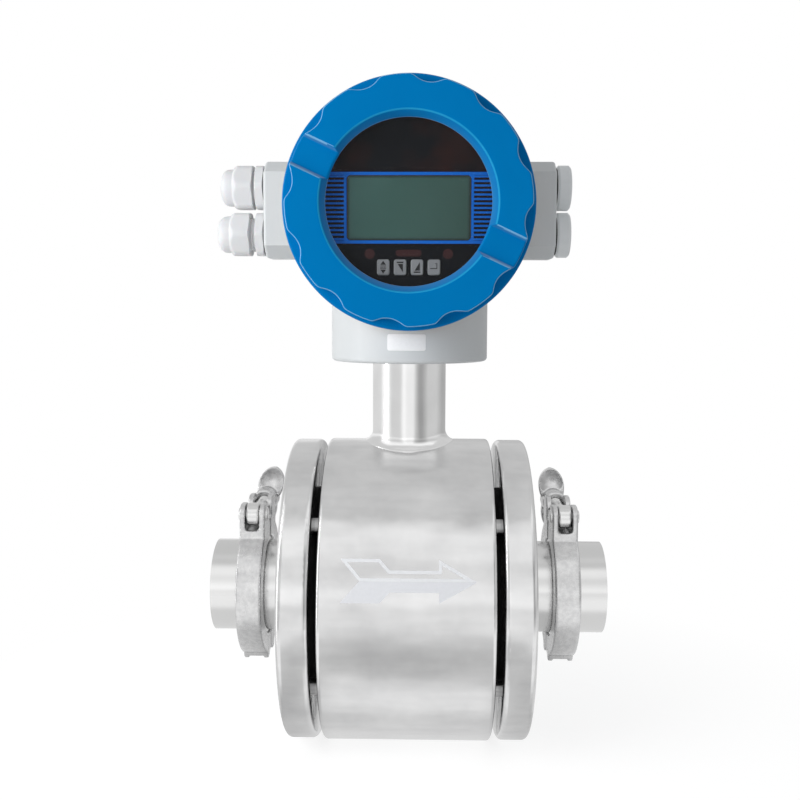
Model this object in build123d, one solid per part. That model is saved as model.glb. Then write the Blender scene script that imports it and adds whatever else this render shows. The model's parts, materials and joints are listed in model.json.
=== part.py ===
from build123d import *
import math
import os

# Sanitary electromagnetic flow meter with a clamped pipe connection at each end.
# The origin is the centre of the flow bore. +X is the flow direction, the display
# faces -Y, and +Z points up through the neck to the head. All sizes are millimetres.

# Flow tube and clamp ferrules
tube_outer_diameter = 51.0
tube_wall = 1.5
ferrule_diameter = 64.0
ferrule_rim = 2.85
ferrule_slope_deg = 20.0
welded_ferrule_length = 20.0
loose_ferrule_length = 22.0
gasket_thickness = 2.0
gasket_bead_radius = 1.1
gasket_bead_circle = 55.6

# Sensor barrel and its end discs
barrel_diameter = 168.0
barrel_length = 89.8
barrel_wall = 3.0
barrel_edge_radius = 2.2
end_plate_thickness = 12.0
disc_diameter = 166.8
disc_thickness = 16.5
disc_edge_radius = 3.0
joint_gap = 3.6
gap_ring_diameter = 112.0
measuring_tube_wall = 2.5
liner_thickness = 3.0

# Bolts that hold each disc
bolt_circle_diameter = 124.0
bolt_count = 4
first_bolt_deg = 45.0
bolt_diameter = 8.0
bolt_head_diameter = 13.0
bolt_head_height = 8.0
bolt_socket_flats = 6.0
bolt_socket_depth = 4.5
bolt_thread_depth = 10.0

# Magnetic field coils and electrodes
coil_length = 46.0
coil_width = 40.0
coil_height = 16.0
coil_window_length = 22.0
coil_window_width = 16.0
electrode_head_diameter = 9.0
electrode_head_height = 1.0
electrode_stem_diameter = 4.0
electrode_nut_diameter = 10.0
electrode_nut_height = 5.0

# Clamp jaws
jaw_width = 13.8
jaw_outer_radius = 38.5
jaw_lip_radius = 27.6
jaw_groove_radius = 34.0
jaw_edge_radius = 1.0
jaw_split = 2.0
fork_slot_width = 8.0
fork_slot_floor = 35.4
fork_slot_corner = 2.0
fork_front = 22.2
fork_inner = 6.5
fork_pin_height = 43.5
fork_pin_offset = 14.5
fork_top_radius = 6.2
fork_inner_shoulder = 1.5
fork_outer_shoulder = 1.0
fork_crown_width = 11.6
fork_crown_skew = 0.3
fork_inner_fall = 1.2
fork_outer_fall = 2.2
swing_pin_diameter = 5.0
swing_pin_head_diameter = 7.4
swing_pin_head_height = 1.2
link_pin_offset = 8.5
link_pin_height = 36.3
link_pin_diameter = 4.0
link_ear_radius = 4.2
link_width = 7.6
link_height = 6.4
link_flat_radius = 33.0

# Swing bolt and wing nut
eye_radius = 6.4
eye_width = 7.2
shank_diameter = 7.0
shank_end = 45.0
nut_face_radius = 36.8
nut_hub_radius = 7.0
nut_length = 17.0
wing_start = 10.0
wing_thickness = 6.0
wing_radius = 19.5
wing_width = 15.0
wing_tip_radius = 6.0
wing_scoop_radius = 17.0
wing_scoop_depth = 1.9
wing_tilt_deg = {"left": 16.0, "right": -6.0}

# Neck
neck_diameter = 40.8
neck_wall = 2.0
neck_length = 45.0
neck_weld_radius = 6.0
neck_weld_leg = 4.1
neck_seat_depth = 12.0

# Head housing
housing_half_length = 46.0
housing_radius = 58.0
chamber_radius = 50.0
collar_radius = 54.0
collar_length = 10.0
partition_front = -25.0
partition_thickness = 4.0
base_inset = 2.7
base_height = 81.4
base_edge_radius = 2.0
base_fillet = 2.0
wire_way_diameter = 22.0
boss_half_width = 77.8
boss_height = 51.4
boss_depth = 34.0
boss_corner = 9.0
boss_edge_radius = 1.8
boss_fillet = 2.5
entry_setback = 8.0
entry_spacing = 25.2
entry_diameter = 20.0

# Screwed covers
cover_rim_radius = 64.0
cover_rim_thickness = 6.0
cover_scallop_depth = 9.0
cover_lobe_radius = 61.8
cover_scallop_count = 12
cover_scallop_radius = 12.0
cover_scallop_bite = 3.4
cover_first_scallop_deg = 21.0
cover_edge_radius = 1.2
cover_roof = 5.0
cover_groove_width = 15.0
cover_groove_depth = 3.4
cover_groove_start = 38.6
cover_groove_deg = 155.0
cover_corner_radius = 4.0
cover_seal_thickness = 1.0
window_face_radius = 44.6
window_glass_radius = 41.6
window_lip = 0.8
glass_radius = 48.0
glass_thickness = 4.0
retainer_inner_radius = 44.5
retainer_outer_radius = 49.5
retainer_thickness = 1.6

# Display and keys
panel_radius = 47.0
panel_thickness = 2.0
panel_setback = 3.5
lcd_width = 62.4
lcd_height = 32.4
lcd_drop = 2.0
lcd_recess = 0.3
lcd_corner_radius = 2.3
key_width = 6.3
key_height = 7.8
key_pitch = 8.57
key_drop = 31.8
key_proud = 1.2
key_travel = 0.5
key_corner_radius = 1.2
key_stem_diameter = 3.0

# Boards and terminals
board_thickness = 1.6
display_board_radius = 42.0
main_board_radius = 44.0
main_board_front = -33.0
transformer_width = 26.0
transformer_height = 24.0
transformer_thickness = 5.0
transformer_offset = -3.0
transformer_drop = 10.0
panel_spacer_length = 3.0
pillar_radius = 2.5
pillar_circle_radius = 38.0
terminal_count = 10
terminal_pitch = 6.2
terminal_height = 16.0
terminal_depth = 14.0
terminal_drop = 16.0
terminal_screw_radius = 1.7
terminal_screw_length = 5.0
terminal_wire_radius = 1.6

# Cable glands and blanking plugs
gland_flats = 23.0
gland_corner_radius = 12.45
gland_chamfer = 1.0
gland_flange_thickness = 4.4
gland_washer_thickness = 1.2
gland_washer_radius = 11.0
gland_thread_radius = 9.3
gland_thread_length = 9.6
gland_bore_radius = 6.2
gland_nut_hex_length = 10.3
gland_nut_dome_length = 7.1
gland_dome_radius = 10.0
gland_dome_round = 4.5
gland_mouth_radius = 6.9
gland_nut_stand = {"upper": 1.6, "lower": 3.4}
gland_seal_bore_radius = 4.5
plug_radius = 12.1
plug_thickness = 8.2
plug_dome = 0.9
plug_edge_radius = 1.0
plug_gasket_radius = 10.6
plug_gasket_thickness = 1.4
plug_slot_width = 2.5
plug_slot_depth = 2.5
entry_thread_length = 9.0

# Clearances
running = 0.05
seat = 0.3

# Sizes that follow from the ones above
tube_radius = tube_outer_diameter / 2
bore_radius = tube_radius - tube_wall
ferrule_radius = ferrule_diameter / 2
slope = math.tan(math.radians(ferrule_slope_deg))
barrel_radius = barrel_diameter / 2
barrel_half = barrel_length / 2
disc_inner = barrel_half + joint_gap
disc_outer = disc_inner + disc_thickness
welded_face = disc_outer + welded_ferrule_length
loose_face = welded_face + gasket_thickness
clamp_plane = (welded_face + loose_face) / 2
pipe_end = loose_face + loose_ferrule_length
base_bottom = barrel_radius + neck_length
head_height = base_bottom + base_height
liner_radius = bore_radius + liner_thickness
measuring_radius = liner_radius + measuring_tube_wall
entry_y = -entry_setback
seat_radius = neck_diameter / 2
base_radius = housing_half_length - base_inset
cover_back = housing_half_length + cover_seal_thickness
cover_face = cover_back + cover_rim_thickness + cover_scallop_depth
cover_ceiling = cover_face - cover_roof
glass_back = cover_ceiling - glass_thickness
panel_front = -(glass_back - panel_setback)
panel_back = panel_front + panel_thickness
display_board_front = panel_back + panel_spacer_length
SIDES = {"left": -1, "right": 1}
ENTRIES = {"upper": entry_spacing / 2, "lower": -entry_spacing / 2}


def outline(points):
    """Closed flat face in the XY plane through the given corners."""
    return make_face(Polyline(*points, close=True))


def turned_x(points):
    """Solid turned about X from (x, radius) corners."""
    return revolve(outline(points), Axis.X)


def turned_y(points):
    """Solid turned about Y from (y, radius) corners."""
    return revolve(outline([(radius, along) for along, radius in points]), Axis.Y)


def tube_x(x_low, x_high, outer, inner=0.0):
    """Round bar or tube along X between two stations."""
    corners = [(x_low, inner), (x_high, inner), (x_high, outer), (x_low, outer)]
    return turned_x(corners)


def tube_y(y_low, y_high, outer, inner=0.0):
    """Round bar or tube along Y between two stations."""
    corners = [(y_low, inner), (y_high, inner), (y_high, outer), (y_low, outer)]
    return turned_y(corners)


def bar_x(x_low, x_high, radius, y=0.0, z=0.0):
    """Round bar along X, away from the flow axis."""
    return Pos(0, y, z) * tube_x(x_low, x_high, radius)


def bar_y(y_low, y_high, radius, x=0.0, z=0.0):
    """Round bar along Y, at a place in the XZ plane."""
    return Pos(x, 0, z) * tube_y(y_low, y_high, radius)


def block(low, high):
    """Box between two corners."""
    size = [b - a for a, b in zip(low, high)]
    middle = [(a + b) / 2 for a, b in zip(low, high)]
    return Pos(*middle) * Box(*size)


def facing(shape, side):
    """Turn a piece made for the right end to face the left end when side is -1."""
    return shape if side > 0 else Rot(0, 0, 180) * shape


def on_head(shape):
    """Lift a piece made about the origin to the head's centre."""
    return Pos(0, 0, head_height) * shape


def sensor_barrel():
    """Barrel jacket, two end plates, measuring tube and liner."""
    jacket = tube_x(-barrel_half, barrel_half, barrel_radius, barrel_radius - barrel_wall)
    rims = jacket.edges().filter_by(GeomType.CIRCLE).group_by(SortBy.RADIUS)[-1]
    jacket = fillet(rims, barrel_edge_radius)
    jacket -= Cylinder(seat_radius - neck_wall, barrel_radius, align=(Align.CENTER, Align.CENTER, Align.MIN))
    parts = {"barrel_shell": jacket}
    tube = tube_x(-barrel_half, barrel_half, measuring_radius, liner_radius)
    liner = tube_x(-disc_inner, disc_inner, liner_radius, bore_radius)
    for sign in (-1, 1):
        hole = bar_y(*sorted((0, sign * measuring_radius * 1.1)), electrode_stem_diameter / 2)
        tube -= hole
        liner -= hole
        liner -= electrode_head(sign)
    parts["measuring_tube"] = tube
    parts["bore_liner"] = liner
    for name, side in SIDES.items():
        plate = tube_x(
            barrel_half - end_plate_thickness, barrel_half, barrel_radius - barrel_wall, measuring_radius
        )
        plate -= bolt_holes(barrel_half - bolt_thread_depth, barrel_half, bolt_diameter / 2)
        parts[f"end_plate_{name}"] = facing(plate, side)
    return parts


def electrode_head(sign):
    """Shallow round contact that sits flush in the liner wall."""
    low, high = bore_radius - electrode_head_height, bore_radius + electrode_head_height
    return bar_y(*sorted((sign * low, sign * high)), electrode_head_diameter / 2)


def electrodes():
    """Two measuring contacts, each with its stem and nut outside the tube."""
    group = []
    bore = tube_x(-barrel_half, barrel_half, bore_radius)
    for sign in (-1, 1):
        stem_end = measuring_radius + electrode_nut_height * 1.6
        stem = bar_y(*sorted((sign * bore_radius, sign * stem_end)), electrode_stem_diameter / 2)
        nut_start = measuring_radius
        nut_end = measuring_radius + electrode_nut_height
        nut = bar_y(*sorted((sign * nut_start, sign * nut_end)), electrode_nut_diameter / 2)
        contact = electrode_head(sign) - bore
        group.append(contact + stem + nut)
    return group


def field_coils():
    """Two racetrack coils that lie on the tube, above and below."""
    parts = {}
    cores = []
    for name, sign in (("upper", 1), ("lower", -1)):
        height = measuring_radius + seat + coil_height / 2
        coil = Pos(0, 0, sign * height) * Box(coil_length, coil_width, coil_height)
        coil = fillet(coil.edges().filter_by(Axis.Z), coil_width / 5)
        coil -= Pos(0, 0, sign * height) * Box(coil_window_length, coil_window_width, coil_height * 2)
        core = Pos(0, 0, sign * height) * Box(
            coil_window_length - 2 * seat, coil_window_width - 2 * seat, coil_height
        )
        parts[f"field_coil_{name}"] = coil
        cores.append(core)
    parts["coil_cores"] = cores
    return parts


def bolt_places():
    """Angles of the disc bolts about X, spaced evenly from the first."""
    return [first_bolt_deg + 360.0 * k / bolt_count for k in range(bolt_count)]


def bolt_holes(x_low, x_high, radius):
    """Ring of round cutters along X on the bolt circle."""
    cutters = [
        Rot(angle, 0, 0) * bar_x(x_low, x_high, radius, y=bolt_circle_diameter / 2)
        for angle in bolt_places()
    ]
    return Part() + cutters


def end_discs():
    """Thick adapter discs, the black rings in their gaps and the sunk screws."""
    parts = {}
    screws = []
    head_seat = disc_outer - bolt_head_height
    for name, side in SIDES.items():
        disc = tube_x(disc_inner, disc_outer, disc_diameter / 2, bore_radius)
        rims = disc.edges().filter_by(GeomType.CIRCLE).group_by(SortBy.RADIUS)[-1]
        disc = fillet(rims, disc_edge_radius)
        disc -= bolt_holes(disc_inner, disc_outer, bolt_diameter / 2)
        disc -= bolt_holes(head_seat, disc_outer, bolt_head_diameter / 2 + seat)
        parts[f"end_disc_{name}"] = facing(disc, side)
        ring = tube_x(barrel_half, disc_inner, gap_ring_diameter / 2, liner_radius)
        parts[f"gap_ring_{name}"] = facing(ring, side)
        screw = tube_x(barrel_half - bolt_thread_depth + seat, head_seat, bolt_diameter / 2)
        screw += tube_x(head_seat, disc_outer - seat, bolt_head_diameter / 2)
        socket = Pos(disc_outer - seat - bolt_socket_depth, 0, 0) * Rot(0, 90, 0) * extrude(
            RegularPolygon(bolt_socket_flats / 2, 6, major_radius=False), bolt_socket_depth
        )
        screw -= socket
        for angle in bolt_places():
            placed = Rot(angle, 0, 0) * Pos(0, bolt_circle_diameter / 2, 0) * screw
            screws.append(facing(placed, side))
    parts["disc_screws"] = screws
    return parts


def ferrule_half(x_face, x_end):
    """Clamp ferrule whose flat face is at x_face and whose tube runs out to x_end."""
    out = 1 if x_end > x_face else -1
    hub_step = ferrule_rim + (ferrule_radius - tube_radius) * slope
    ferrule = turned_x(
        [
            (x_face, bore_radius),
            (x_face, ferrule_radius),
            (x_face + out * ferrule_rim, ferrule_radius),
            (x_face + out * hub_step, tube_radius),
            (x_end, tube_radius),
            (x_end, bore_radius),
        ]
    )
    return ferrule - bead_ring(x_face, gasket_bead_radius + running)


def bead_ring(x_middle, radius):
    """Round bead or its groove, about X."""
    return Pos(x_middle, 0, 0) * Rot(0, 90, 0) * Torus(gasket_bead_circle / 2, radius)


def ferrules():
    """Welded and loose ferrules with the gasket between them, at both ends."""
    parts = {}
    for name, side in SIDES.items():
        gasket = tube_x(welded_face, loose_face, ferrule_radius - seat, bore_radius)
        for face in (welded_face, loose_face):
            gasket += bead_ring(face, gasket_bead_radius)
        parts[f"ferrule_inner_{name}"] = facing(ferrule_half(welded_face, disc_outer), side)
        parts[f"clamp_gasket_{name}"] = facing(gasket, side)
        parts[f"ferrule_outer_{name}"] = facing(ferrule_half(loose_face, pipe_end), side)
    return parts


def jaw_cavity():
    """Space inside the closed jaws: the two ferrule rims with their sloping backs."""
    rim = gasket_thickness / 2 + ferrule_rim + running
    lip = rim + (ferrule_radius - jaw_lip_radius) * slope
    wide = jaw_width
    return turned_x(
        [
            (-wide, 0),
            (-wide, jaw_lip_radius),
            (-lip, jaw_lip_radius),
            (-rim, ferrule_radius),
            (-rim, jaw_groove_radius),
            (rim, jaw_groove_radius),
            (rim, ferrule_radius),
            (lip, jaw_lip_radius),
            (wide, jaw_lip_radius),
            (wide, 0),
        ]
    )


def front_fork():
    """Side outline of the front jaw's ears, with the pin near their top."""
    crown = (-fork_pin_offset, fork_pin_height + fork_top_radius)
    root = (-fork_inner, jaw_lip_radius + ferrule_rim)
    inner = (-fork_inner, fork_pin_height - fork_inner_shoulder)
    outer = (-fork_front, fork_pin_height - fork_outer_shoulder)
    middle = crown[0] - fork_crown_skew
    half = fork_crown_width / 2
    edge = (
        Line(root, inner)
        + ThreePointArc(inner, (middle + half, crown[1] - fork_inner_fall), crown)
        + ThreePointArc(crown, (middle - half, crown[1] - fork_outer_fall), outer)
        + Line(outer, (-fork_front, jaw_lip_radius))
        + Line((-fork_front, jaw_lip_radius), root)
    )
    return extrude(Plane.YZ * make_face(edge), jaw_width / 2, both=True)


def rear_fork():
    """Ears of the rear jaw, their back face an arc about the swing pin."""
    top = fork_pin_height + fork_top_radius
    ears = mirror(front_fork(), about=Plane.XZ)
    reach = nut_face_radius - seat
    swept = bar_x(-jaw_width, jaw_width, reach, y=-fork_pin_offset, z=fork_pin_height)
    ears = ears & swept
    return ears & block((-jaw_width, 0, 0), (jaw_width, 2 * fork_front, top))


def jaw(front):
    """One clamp jaw: half ring, fork at the top and two link ears at the bottom."""
    sign = -1 if front else 1
    ring = tube_x(-jaw_width / 2, jaw_width / 2, jaw_outer_radius, jaw_lip_radius / 2)
    ring = fillet(
        ring.edges().filter_by(GeomType.CIRCLE).group_by(SortBy.RADIUS)[-1], jaw_edge_radius
    )
    reach = 2 * jaw_outer_radius
    near, far = sorted((sign * jaw_split, sign * reach))
    body = ring & block((-jaw_width, near, -reach), (jaw_width, far, reach))
    body += front_fork() if front else rear_fork()
    body += bar_x(
        -jaw_width / 2, jaw_width / 2, link_ear_radius, y=sign * link_pin_offset, z=-link_pin_height
    )
    body -= jaw_cavity()
    half_slot = fork_slot_width / 2
    slot = block((-half_slot, near, fork_slot_floor), (half_slot, far, reach))
    slot = fillet(slot.edges().filter_by(Axis.Y).group_by(Axis.Z)[0], fork_slot_corner)
    body -= slot
    link_half = link_width / 2 + seat
    link_end = link_pin_offset + link_height / 2 + seat
    low, high = sorted((0, sign * link_end))
    body -= block((-link_half, low, -reach), (link_half, high, -jaw_groove_radius / 2))
    body -= bar_x(
        -jaw_width, jaw_width, link_pin_diameter / 2, y=sign * link_pin_offset, z=-link_pin_height
    )
    if front:
        body -= bar_x(
            -jaw_width, jaw_width, swing_pin_diameter / 2, y=-fork_pin_offset, z=fork_pin_height
        )
    return body


def clamp_link():
    """Short link between the two jaws, with one pin hole for each."""
    flat = -link_flat_radius
    half = link_height / 2
    plate = Part()
    for sign in (-1, 1):
        plate += bar_x(
            -link_width / 2, link_width / 2, half, y=sign * link_pin_offset, z=-link_pin_height
        )
    plate += block(
        (-link_width / 2, -link_pin_offset, -link_pin_height - half),
        (link_width / 2, link_pin_offset, -link_pin_height + half),
    )
    below = -2 * jaw_outer_radius
    plate = plate & block((-link_width, -jaw_outer_radius, below), (link_width, jaw_outer_radius, flat))
    for sign in (-1, 1):
        plate -= bar_x(
            -link_width, link_width, link_pin_diameter / 2, y=sign * link_pin_offset, z=-link_pin_height
        )
    return plate


def swing_pin():
    """Pin across the front fork, with a low round head at each end."""
    half = jaw_width / 2
    pin = tube_x(-half, half, swing_pin_diameter / 2)
    for sign in (-1, 1):
        span = sorted((sign * half, sign * (half + swing_pin_head_height)))
        head = tube_x(*span, swing_pin_head_diameter / 2)
        rim = head.edges().filter_by(GeomType.CIRCLE).sort_by(Axis.X)[0 if sign < 0 else -1]
        pin += fillet(rim, swing_pin_head_height * 0.6)
    return Pos(0, -fork_pin_offset, fork_pin_height) * pin


def swing_bolt():
    """Eye bolt that swings on the pin and passes through the rear fork."""
    eye = tube_x(-eye_width / 2, eye_width / 2, eye_radius)
    eye = fillet(eye.edges().filter_by(GeomType.CIRCLE), 1.0)
    shank_tip = shank_end + fork_pin_offset
    shank = tube_y(0, shank_tip, shank_diameter / 2)
    tip = shank.edges().filter_by(GeomType.CIRCLE).sort_by(Axis.Y)[-1]
    shank = chamfer(tip, shank_diameter / 8)
    bolt = eye + shank
    bolt -= tube_x(-eye_width, eye_width, swing_pin_diameter / 2 + running)
    return Pos(0, -fork_pin_offset, fork_pin_height) * bolt


def wing_nut(tilt_deg):
    """Cast wing nut: a round hub and two rounded wings, scooped on both faces."""
    face = nut_face_radius - fork_pin_offset
    hub = tube_y(0, nut_length, nut_hub_radius)
    hub = chamfer(hub.edges().filter_by(GeomType.CIRCLE), 0.8)
    tip = wing_radius - wing_tip_radius
    shoulder = wing_width / 2
    nut = hub
    root = nut_hub_radius * 0.8
    side = [(shoulder, tip * 0.62), (wing_tip_radius * 0.9, tip + 2.4)]
    other_side = [(-x, z) for x, z in reversed(side)]
    for sign in (-1, 1):
        edge = (
            Line((-root, 0), (root, 0))
            + Spline((root, 0), *side, (0, wing_radius))
            + Spline((0, wing_radius), *other_side, (-root, 0))
        )
        wing = extrude(Plane.XZ * make_face(edge), -wing_thickness)
        wing = Pos(0, wing_start, 0) * wing
        wing = fillet(wing.edges().filter_by(Plane.XZ, reverse=False).group_by(Axis.Y)[-1], 1.2)
        scoop_height = wing_radius * 0.62
        for face_y, out in ((wing_start, -1), (wing_start + wing_thickness, 1)):
            centre = face_y + out * (wing_scoop_radius - wing_scoop_depth)
            wing -= Pos(0, centre, scoop_height) * Sphere(wing_scoop_radius)
        nut += wing if sign > 0 else Rot(0, 180, 0) * wing
    nut += hub
    nut -= tube_y(-1, nut_length + 1, shank_diameter / 2 + running)
    nut = Rot(0, tilt_deg, 0) * nut
    return Pos(0, face, fork_pin_height) * nut


def clamps():
    """Both hinged clamps with their swing bolts and wing nuts."""
    parts = {}
    swing_pins = []
    link_pins = []
    front_jaw = jaw(True)
    rear_jaw = jaw(False)
    link = clamp_link()
    bolt = swing_bolt()
    for name, side in SIDES.items():
        place = Pos(side * clamp_plane, 0, 0)
        parts[f"clamp_front_jaw_{name}"] = place * front_jaw
        parts[f"clamp_rear_jaw_{name}"] = place * rear_jaw
        parts[f"clamp_link_{name}"] = place * link
        parts[f"swing_bolt_{name}"] = place * bolt
        parts[f"wing_nut_{name}"] = place * wing_nut(wing_tilt_deg[name])
        swing_pins.append(place * swing_pin())
        for sign in (-1, 1):
            pin_y = sign * link_pin_offset
            pin = bar_x(-jaw_width / 2, jaw_width / 2, link_pin_diameter / 2, pin_y, -link_pin_height)
            link_pins.append(place * pin)
    parts["swing_pins"] = swing_pins
    parts["link_pins"] = link_pins
    return parts


def neck():
    """Neck tube with the weld that blends it into the barrel."""
    top = base_bottom + neck_seat_depth
    axis_to_top = (Align.CENTER, Align.CENTER, Align.MIN)
    barrel = tube_x(-barrel_half, barrel_half, barrel_radius)
    tube = Cylinder(seat_radius, top, align=axis_to_top)
    joined = barrel + tube
    foot = [e for e in joined.edges() if e.geom_type == GeomType.BSPLINE or e.geom_type == GeomType.OTHER]
    foot = [e for e in foot if e.center().Z > barrel_radius / 2]
    joined = fillet(foot, neck_weld_radius)
    shape = joined - barrel
    shape = shape & Cylinder(seat_radius + neck_weld_leg, top, align=axis_to_top)
    shape -= Cylinder(seat_radius - neck_wall, top * 1.1, align=axis_to_top)
    return shape


def edges_on(shape, test):
    """Edges whose ends and middle all pass a test."""
    return [edge for edge in shape.edges() if all(test(edge.position_at(t)) for t in (0.0, 0.5, 1.0))]


def on_round_body(place):
    """True for a point on the housing's round wall."""
    return abs(math.hypot(place.X, place.Z) - housing_radius) < 0.01


def housing():
    """Cast housing: round body, two entry bosses, base and two chambers."""
    body = tube_y(-housing_half_length, housing_half_length, housing_radius)
    collar_end = housing_half_length + collar_length
    body += tube_y(-collar_end, collar_end, collar_radius)
    half = boss_height / 2
    deep = boss_depth / 2
    boss = Pos(0, entry_y, 0) * Box(2 * boss_half_width, 2 * deep, 2 * half)
    boss = chamfer(boss.edges().filter_by(Axis.X), boss_corner * 0.7, boss_corner)
    boss = fillet(boss.faces().sort_by(Axis.X)[0].edges(), boss_edge_radius)
    boss = fillet(boss.faces().sort_by(Axis.X)[-1].edges(), boss_edge_radius)
    body += boss
    slack = 0.01
    roots = edges_on(
        body, lambda p: on_round_body(p) and abs(p.Y - entry_y) < deep + slack and abs(p.Z) < half + slack
    )
    body = fillet(roots, boss_fillet)
    base = Pos(0, 0, -base_height) * Cylinder(
        base_radius, base_height, align=(Align.CENTER, Align.CENTER, Align.MIN)
    )
    base = fillet(base.edges().filter_by(GeomType.CIRCLE).sort_by(Axis.Z)[0], base_edge_radius)
    body += base
    roots = edges_on(body, lambda p: on_round_body(p) and abs(math.hypot(p.X, p.Y) - base_radius) < 0.01)
    body = fillet(roots, base_fillet)
    partition_back = partition_front + partition_thickness
    body -= tube_y(-collar_end - 1, partition_front, chamber_radius)
    body -= tube_y(partition_back, collar_end + 1, chamber_radius)
    neck_top = -base_height + neck_seat_depth
    body -= Pos(0, 0, -base_height) * Cylinder(
        seat_radius, neck_seat_depth, align=(Align.CENTER, Align.CENTER, Align.MIN)
    )
    body -= Pos(0, 0, neck_top) * Cylinder(
        wire_way_diameter / 2, base_height / 2, align=(Align.CENTER, Align.CENTER, Align.MIN)
    )
    body -= bar_y(partition_front - 1, partition_back + 1, terminal_height / 3, z=terminal_drop)
    for z in ENTRIES.values():
        for sign in (-1, 1):
            reach = sorted((sign * chamber_radius / 2, sign * boss_half_width))
            body -= bar_x(*reach, entry_diameter / 2, y=entry_y, z=z)
    return on_head(body)


def cover_blank():
    """Front cover form without its window: rim, scalloped grip, roof and thread bore."""
    rim_end = cover_back + cover_rim_thickness
    rim = tube_y(-rim_end, -cover_back, cover_rim_radius)
    rim = fillet(rim.edges().filter_by(GeomType.CIRCLE), cover_edge_radius)
    grip = tube_y(-cover_face, -rim_end, cover_lobe_radius)
    centre = cover_lobe_radius - cover_scallop_bite + cover_scallop_radius
    for k in range(cover_scallop_count):
        angle = math.radians(cover_first_scallop_deg + 360.0 * k / cover_scallop_count)
        x, z = centre * math.cos(angle), centre * math.sin(angle)
        grip -= bar_y(-cover_face - 1, -rim_end, cover_scallop_radius, x=x, z=z)
    corners = grip.edges().filter_by(Axis.Y)
    grip = fillet(corners, cover_corner_radius)
    grip = fillet(grip.faces().sort_by(Axis.Y)[0].edges(), cover_edge_radius)
    body = rim + grip
    body -= tube_y(-cover_ceiling, -cover_back + 1, collar_radius + running)
    return body


def covers():
    """Front cover with its window, and the blind rear cover."""
    blank = cover_blank()
    groove = block(
        (cover_groove_start, -cover_face - 1, -cover_groove_width / 2),
        (cover_rim_radius + 2, -cover_face + cover_groove_depth, cover_groove_width / 2),
    )
    front = blank
    for turn in (0, 180):
        front -= Rot(0, -(cover_groove_deg + turn), 0) * groove
    front -= turned_y(
        [
            (-cover_face - 1, 0),
            (-cover_face - 1, window_face_radius),
            (-cover_face, window_face_radius),
            (-cover_ceiling - window_lip, window_glass_radius),
            (-cover_ceiling + 1, window_glass_radius),
            (-cover_ceiling + 1, 0),
        ]
    )
    rear = Rot(0, 0, 180) * blank
    rear_groove = Rot(0, 0, 180) * groove
    for turn in (0, 180):
        rear -= Rot(0, cover_groove_deg + turn, 0) * rear_groove
    glass = tube_y(-cover_ceiling, -glass_back, glass_radius)
    retainer_back = -glass_back + retainer_thickness
    retainer = tube_y(-glass_back, retainer_back, retainer_outer_radius, retainer_inner_radius)
    seal = tube_y(-cover_back, -housing_half_length, housing_radius + seat, collar_radius)
    seal += tube_y(-cover_back, -housing_half_length, cover_rim_radius - seat, housing_radius)
    return {
        "front_cover": on_head(front),
        "rear_cover": on_head(rear),
        "window_glass": on_head(glass),
        "glass_retainer": on_head(retainer),
        "cover_seals": [on_head(seal), on_head(Rot(0, 0, 180) * seal)],
    }


def key_places():
    """X of each key, with its node name."""
    names = ["key_scroll", "key_down", "key_up", "key_enter"]
    first = -(len(names) - 1) / 2 * key_pitch
    return {name: first + k * key_pitch for k, name in enumerate(names)}


def plate_xz(width, height, y_low, y_high, corner):
    """Rounded plate facing -Y."""
    face = Plane.XZ * RectangleRounded(width, height, corner)
    return Pos(0, y_high, 0) * extrude(face, y_high - y_low)


def display():
    """Panel, glass cell, four keys, two boards and their pillars."""
    panel = tube_y(panel_front, panel_back, panel_radius)
    opening = plate_xz(lcd_width, lcd_height, panel_front - 1, panel_back + 1, lcd_corner_radius)
    panel -= Pos(0, 0, -lcd_drop) * opening
    cell_front = panel_front + lcd_recess
    cell = plate_xz(
        lcd_width - running, lcd_height - running, cell_front, display_board_front, lcd_corner_radius
    )
    parts = {"display_lcd": on_head(Pos(0, 0, -lcd_drop) * cell)}
    guide = 2 * running
    for name, x in key_places().items():
        hole = plate_xz(
            key_width + 2 * guide, key_height + 2 * guide, panel_front - 1, panel_back + 1, key_corner_radius
        )
        panel -= Pos(x, 0, -key_drop) * hole
        cap = plate_xz(key_width, key_height, panel_front - key_proud, panel_back, key_corner_radius)
        rim = cap.faces().sort_by(Axis.Y)[0].edges()
        cap = fillet(rim, 0.5)
        stem_end = display_board_front - key_travel - seat
        cap += bar_y(panel_back, stem_end, key_stem_diameter / 2)
        parts[name] = on_head(Pos(x, 0, -key_drop) * cap)
    parts["display_panel"] = on_head(panel)
    display_board = tube_y(
        display_board_front, display_board_front + board_thickness, display_board_radius
    )
    main_board_back = main_board_front + board_thickness
    main_board = tube_y(main_board_front, main_board_back, main_board_radius)
    transformer = Box(transformer_width, transformer_thickness, transformer_height)
    transformer_middle = main_board_front - transformer_thickness / 2
    main_board += Pos(transformer_offset, transformer_middle, -transformer_drop) * transformer
    parts["display_board"] = on_head(display_board)
    parts["main_board"] = on_head(main_board)
    spans = [
        (panel_back, display_board_front),
        (display_board_front + board_thickness, main_board_front),
        (main_board_back, partition_front),
    ]
    pillars = []
    for low, high in spans:
        for angle in (45, 135, 225, 315):
            x = pillar_circle_radius * math.cos(math.radians(angle))
            z = pillar_circle_radius * math.sin(math.radians(angle))
            pillars.append(on_head(bar_y(low, high, pillar_radius, x=x, z=z)))
    parts["board_pillars"] = pillars
    return parts


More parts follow.
